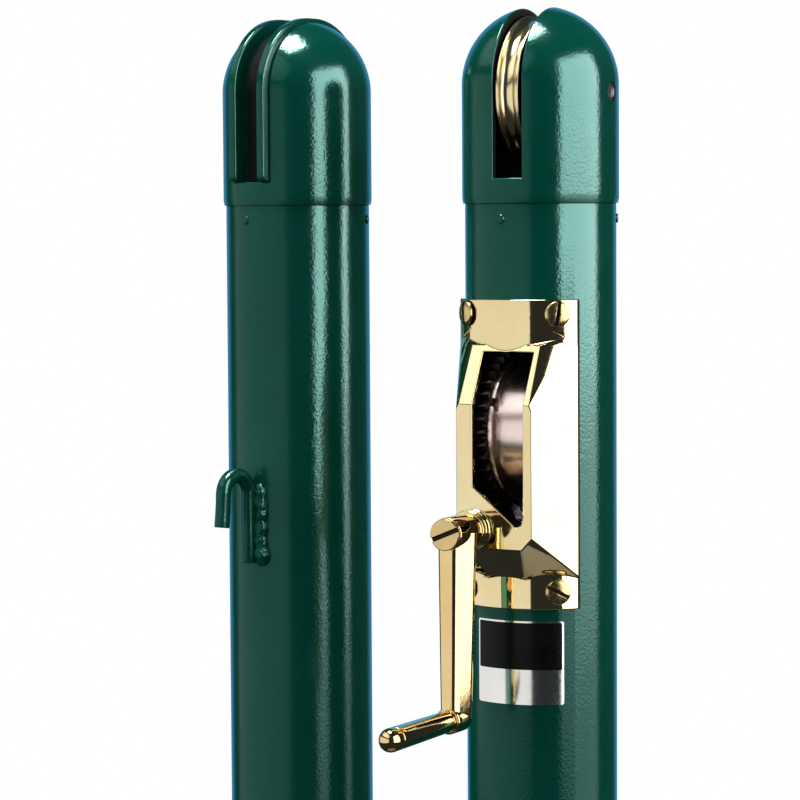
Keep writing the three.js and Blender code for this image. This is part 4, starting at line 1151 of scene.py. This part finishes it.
# The channel's floor gets painted shade
line_inside(guide, painted_shade, in_channel)
place_on_anchor(guide)
dress(place_on_anchor(cable_hook()), "posts", "green_paint", paint, "cable_hook")
dress(place_on_anchor(weld()), "posts", "green_paint", weld_paint, "hook_weld")


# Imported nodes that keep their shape
FINISHES = {
    "green_paint": paint,
    "polished_brass": brass,
    "steel": steel,
    "bronze": bronze,
    "drum_metal": drum_metal,
    "dark_iron": dark_iron,
    "foot_rubber": rubber,
    "plate_enamel": enamel,
}
for part in frame["record"]["subparts"]:
    node = frame["nodes"][part["node"]]
    node.data.materials.clear()
    node.data.materials.append(FINISHES[part["material_slot"]])


# Camera, floor and light

PHOTO_PLACE = (0.652, -1.370, RIM - 6 * MM)
PHOTO_AZIMUTH = math.radians(28.15)
PHOTO_PITCH = math.radians(3.51)
PHOTO_ROLL = math.radians(-0.34)
LENS_LENGTH = 135
FILM_WIDTH = 36

ROOM_LEVEL = 0.03
BACKDROP_SHEEN = (0.12, 0.45, 0.85)
BACKDROP_HALF = math.radians(37)
BACKDROP_BLUR = math.radians(5)
BACKDROP_FOOT = (-0.35, -0.2)
FLOOR_LIFT = 0.75
FLOOR_RADIUS = 0.45
FLOOR_THICK = 10 * MM


def add_camera():
    lens = bpy.data.cameras.new("camera")
    lens.lens = LENS_LENGTH
    lens.sensor_width = FILM_WIDTH
    camera = bpy.data.objects.new("camera", lens)
    camera.matrix_world = (
        Matrix.Translation(PHOTO_PLACE)
        @ Matrix.Rotation(PHOTO_AZIMUTH, 4, "Z")
        @ Matrix.Rotation(math.pi / 2 - PHOTO_PITCH, 4, "X")
        @ Matrix.Rotation(PHOTO_ROLL, 4, "Z")
    )
    bpy.context.scene.collection.objects.link(camera)
    bpy.context.scene.camera = camera


def add_lamp(name, place, aim, size, radiance, beam=180, on_matte=True, in_gloss=True, only=None):
    """A soft rectangular lamp at a place, turned towards a point, with its beam in degrees.

    A white card as bright has a radiance of 1.
    """
    lamp = bpy.data.lights.new(name, "AREA")
    lamp.shape = "RECTANGLE"
    lamp.size, lamp.size_y = size
    half = math.radians(beam) / 2
    focus = 1 if beam == 180 else math.tan(half) / (math.tan(half) - half)
    lamp.energy = 4 * radiance * size[0] * size[1] / focus
    lamp.spread = math.radians(beam)
    holder = bpy.data.objects.new(name, lamp)
    away = Vector(place) - Vector(aim)
    holder.matrix_world = Matrix.Translation(place) @ away.to_track_quat("Z", "Y").to_matrix().to_4x4()
    holder.visible_camera = False
    holder.visible_diffuse = on_matte
    holder.visible_glossy = in_gloss
    if only:
        holder.light_linking.receiver_collection = only
    bpy.context.scene.collection.objects.link(holder)


def pieces_by_paint():
    """Two collections for the lamps: the painted pieces, and all the others."""
    painted, bare = bpy.data.collections.new("painted"), bpy.data.collections.new("bare")
    for piece in bpy.context.scene.objects:
        if piece.type == "MESH":
            first = piece.data.materials[0] if piece.data.materials else None
            (painted if first in (paint, weld_paint) else bare).objects.link(piece)
    return painted, bare


def add_world():
    """A white backdrop for the camera. Gloss shows its cool far side behind the posts, else a dim room."""
    world = bpy.data.worlds.new("room")
    bpy.context.scene.world = world
    world.use_nodes = True
    tree, room = world.node_tree, world.node_tree.nodes["Background"]
    fill(tree, room, {"Color": (0.8, 0.9, 1, 1), "Strength": ROOM_LEVEL})
    backdrop = add_node(tree, "Background", {"Color": (*BACKDROP_SHEEN, 1)}, "Background")
    white = add_node(tree, "Background", {"Color": (1, 1, 1, 1)}, "Background")
    way = add_node(tree, "TexCoord", {}, "Generated")
    back = (-math.sin(PHOTO_AZIMUTH), math.cos(PHOTO_AZIMUTH), 0)
    behind = add_node(tree, "VectorMath", {0: way, 1: back}, "Value", operation="DOT_PRODUCT")
    edge = (math.cos(BACKDROP_HALF + BACKDROP_BLUR), math.cos(BACKDROP_HALF - BACKDROP_BLUR))
    sideways = spread(tree, behind, 0, 1, edge)
    upright = spread(tree, add_node(tree, "SeparateXYZ", {"Vector": way}, "Z"), 0, 1, BACKDROP_FOOT)
    share = add_node(tree, "Math", {0: sideways, 1: upright}, "Value", operation="MULTIPLY")
    in_gloss = add_node(tree, "LightPath", {}, "Is Glossy Ray")
    in_camera = add_node(tree, "LightPath", {}, "Is Camera Ray")
    share = add_node(tree, "Math", {0: share, 1: in_gloss}, "Value", operation="MULTIPLY")
    lit = add_node(tree, "MixShader", {"Fac": share, 1: room.outputs["Background"], 2: backdrop}, "Shader")
    seen = add_node(tree, "MixShader", {"Fac": in_camera, 1: lit, 2: white}, "Shader")
    fill(tree, tree.nodes["World Output"], {"Surface": seen})


def add_floor():
    """A pale matte floor, a little brighter to the camera than its own light makes it."""
    outline = [(0, -FLOOR_THICK), (FLOOR_RADIUS, -FLOOR_THICK), (FLOOR_RADIUS, 0), (0, 0)]
    floor = lathe("floor", outline, "up", (0, 0, 0))
    material = matte("floor", (0.22, 0.22, 0.217), (0.26, 0.26, 0.256), (0.7, 0.9), 60, 0.2 * MM)
    tree = material.node_tree
    lift = spread(tree, add_node(tree, "LightPath", {}, "Is Camera Ray"), 0, FLOOR_LIFT, (0, 1))
    fill(tree, tree.nodes["Principled BSDF"], {"Emission Color": (1, 1, 1, 1), "Emission Strength": lift})
    floor.data.materials.append(material)


add_camera()
add_world()
add_floor()
painted, bare = pieces_by_paint()
matte_only = {"in_gloss": False}
in_paint = {"on_matte": False, "only": painted}
in_metal = {"on_matte": False, "only": bare}
add_lamp("right_soft", (1.5, 0.05, 1.75), (0, 0, 1.5), (2.2, 1.5), 2.8, 140, **matte_only)
add_lamp("right_sheen", (1.5, -0.1, 1.9), (0, 0, 1.9), (1.9, 1.2), 9.5, **in_paint)
add_lamp("middle_sheen", (1.5, -0.1, 1.16), (0, 0, 1.16), (1.9, 0.28), 3.6, **in_paint)
add_lamp("low_sheen", (1.5, -0.1, 0.86), (0, 0, 0.86), (1.9, 0.32), 1.3, **in_paint)
add_lamp("right_metal", (1.5, -0.03, 1.62), (0, 0, 1.62), (2.04, 1.76), 2, **in_metal)
add_lamp("left_soft", (-1.28, -1.46, 1.15), (0, 0, 1.15), (4.6, 1.3), 2.5, 130, **matte_only)
add_lamp("left_sheen", (-1.25, -1.43, 1.15), (0, 0, 1.15), (4.6, 1.3), 0.4, **in_paint)
add_lamp("left_metal", (-1.22, -1.4, 1.15), (0, 0, 1.15), (4.6, 1.3), 0.68, **in_metal)
add_lamp("upper_left", (-0.93, -1.07, 2.57), (0, 0, 1.3), (3.4, 1.15), 1.1, 120)
add_lamp("top_soft", (-0.1, -0.15, 2.4), (-0.06, 0, 1.4), (0.5, 0.45), 22, 70, **matte_only)
add_lamp("rear_soft", (0.5, 1.5, 1.5), (0, 0, 1.1), (2, 1.8), 2.6, 130, **matte_only)
add_lamp("top_sheen", (-0.16, -0.17, 2.4), (-0.06, 0, 1.4), (0.5, 0.45), 40, **in_paint)
add_lamp("top_metal", (-0.16, -0.17, 2.4), (-0.06, 0, 1.4), (0.5, 0.45), 12, **in_metal)
bpy.context.scene.view_settings.view_transform = "Standard"
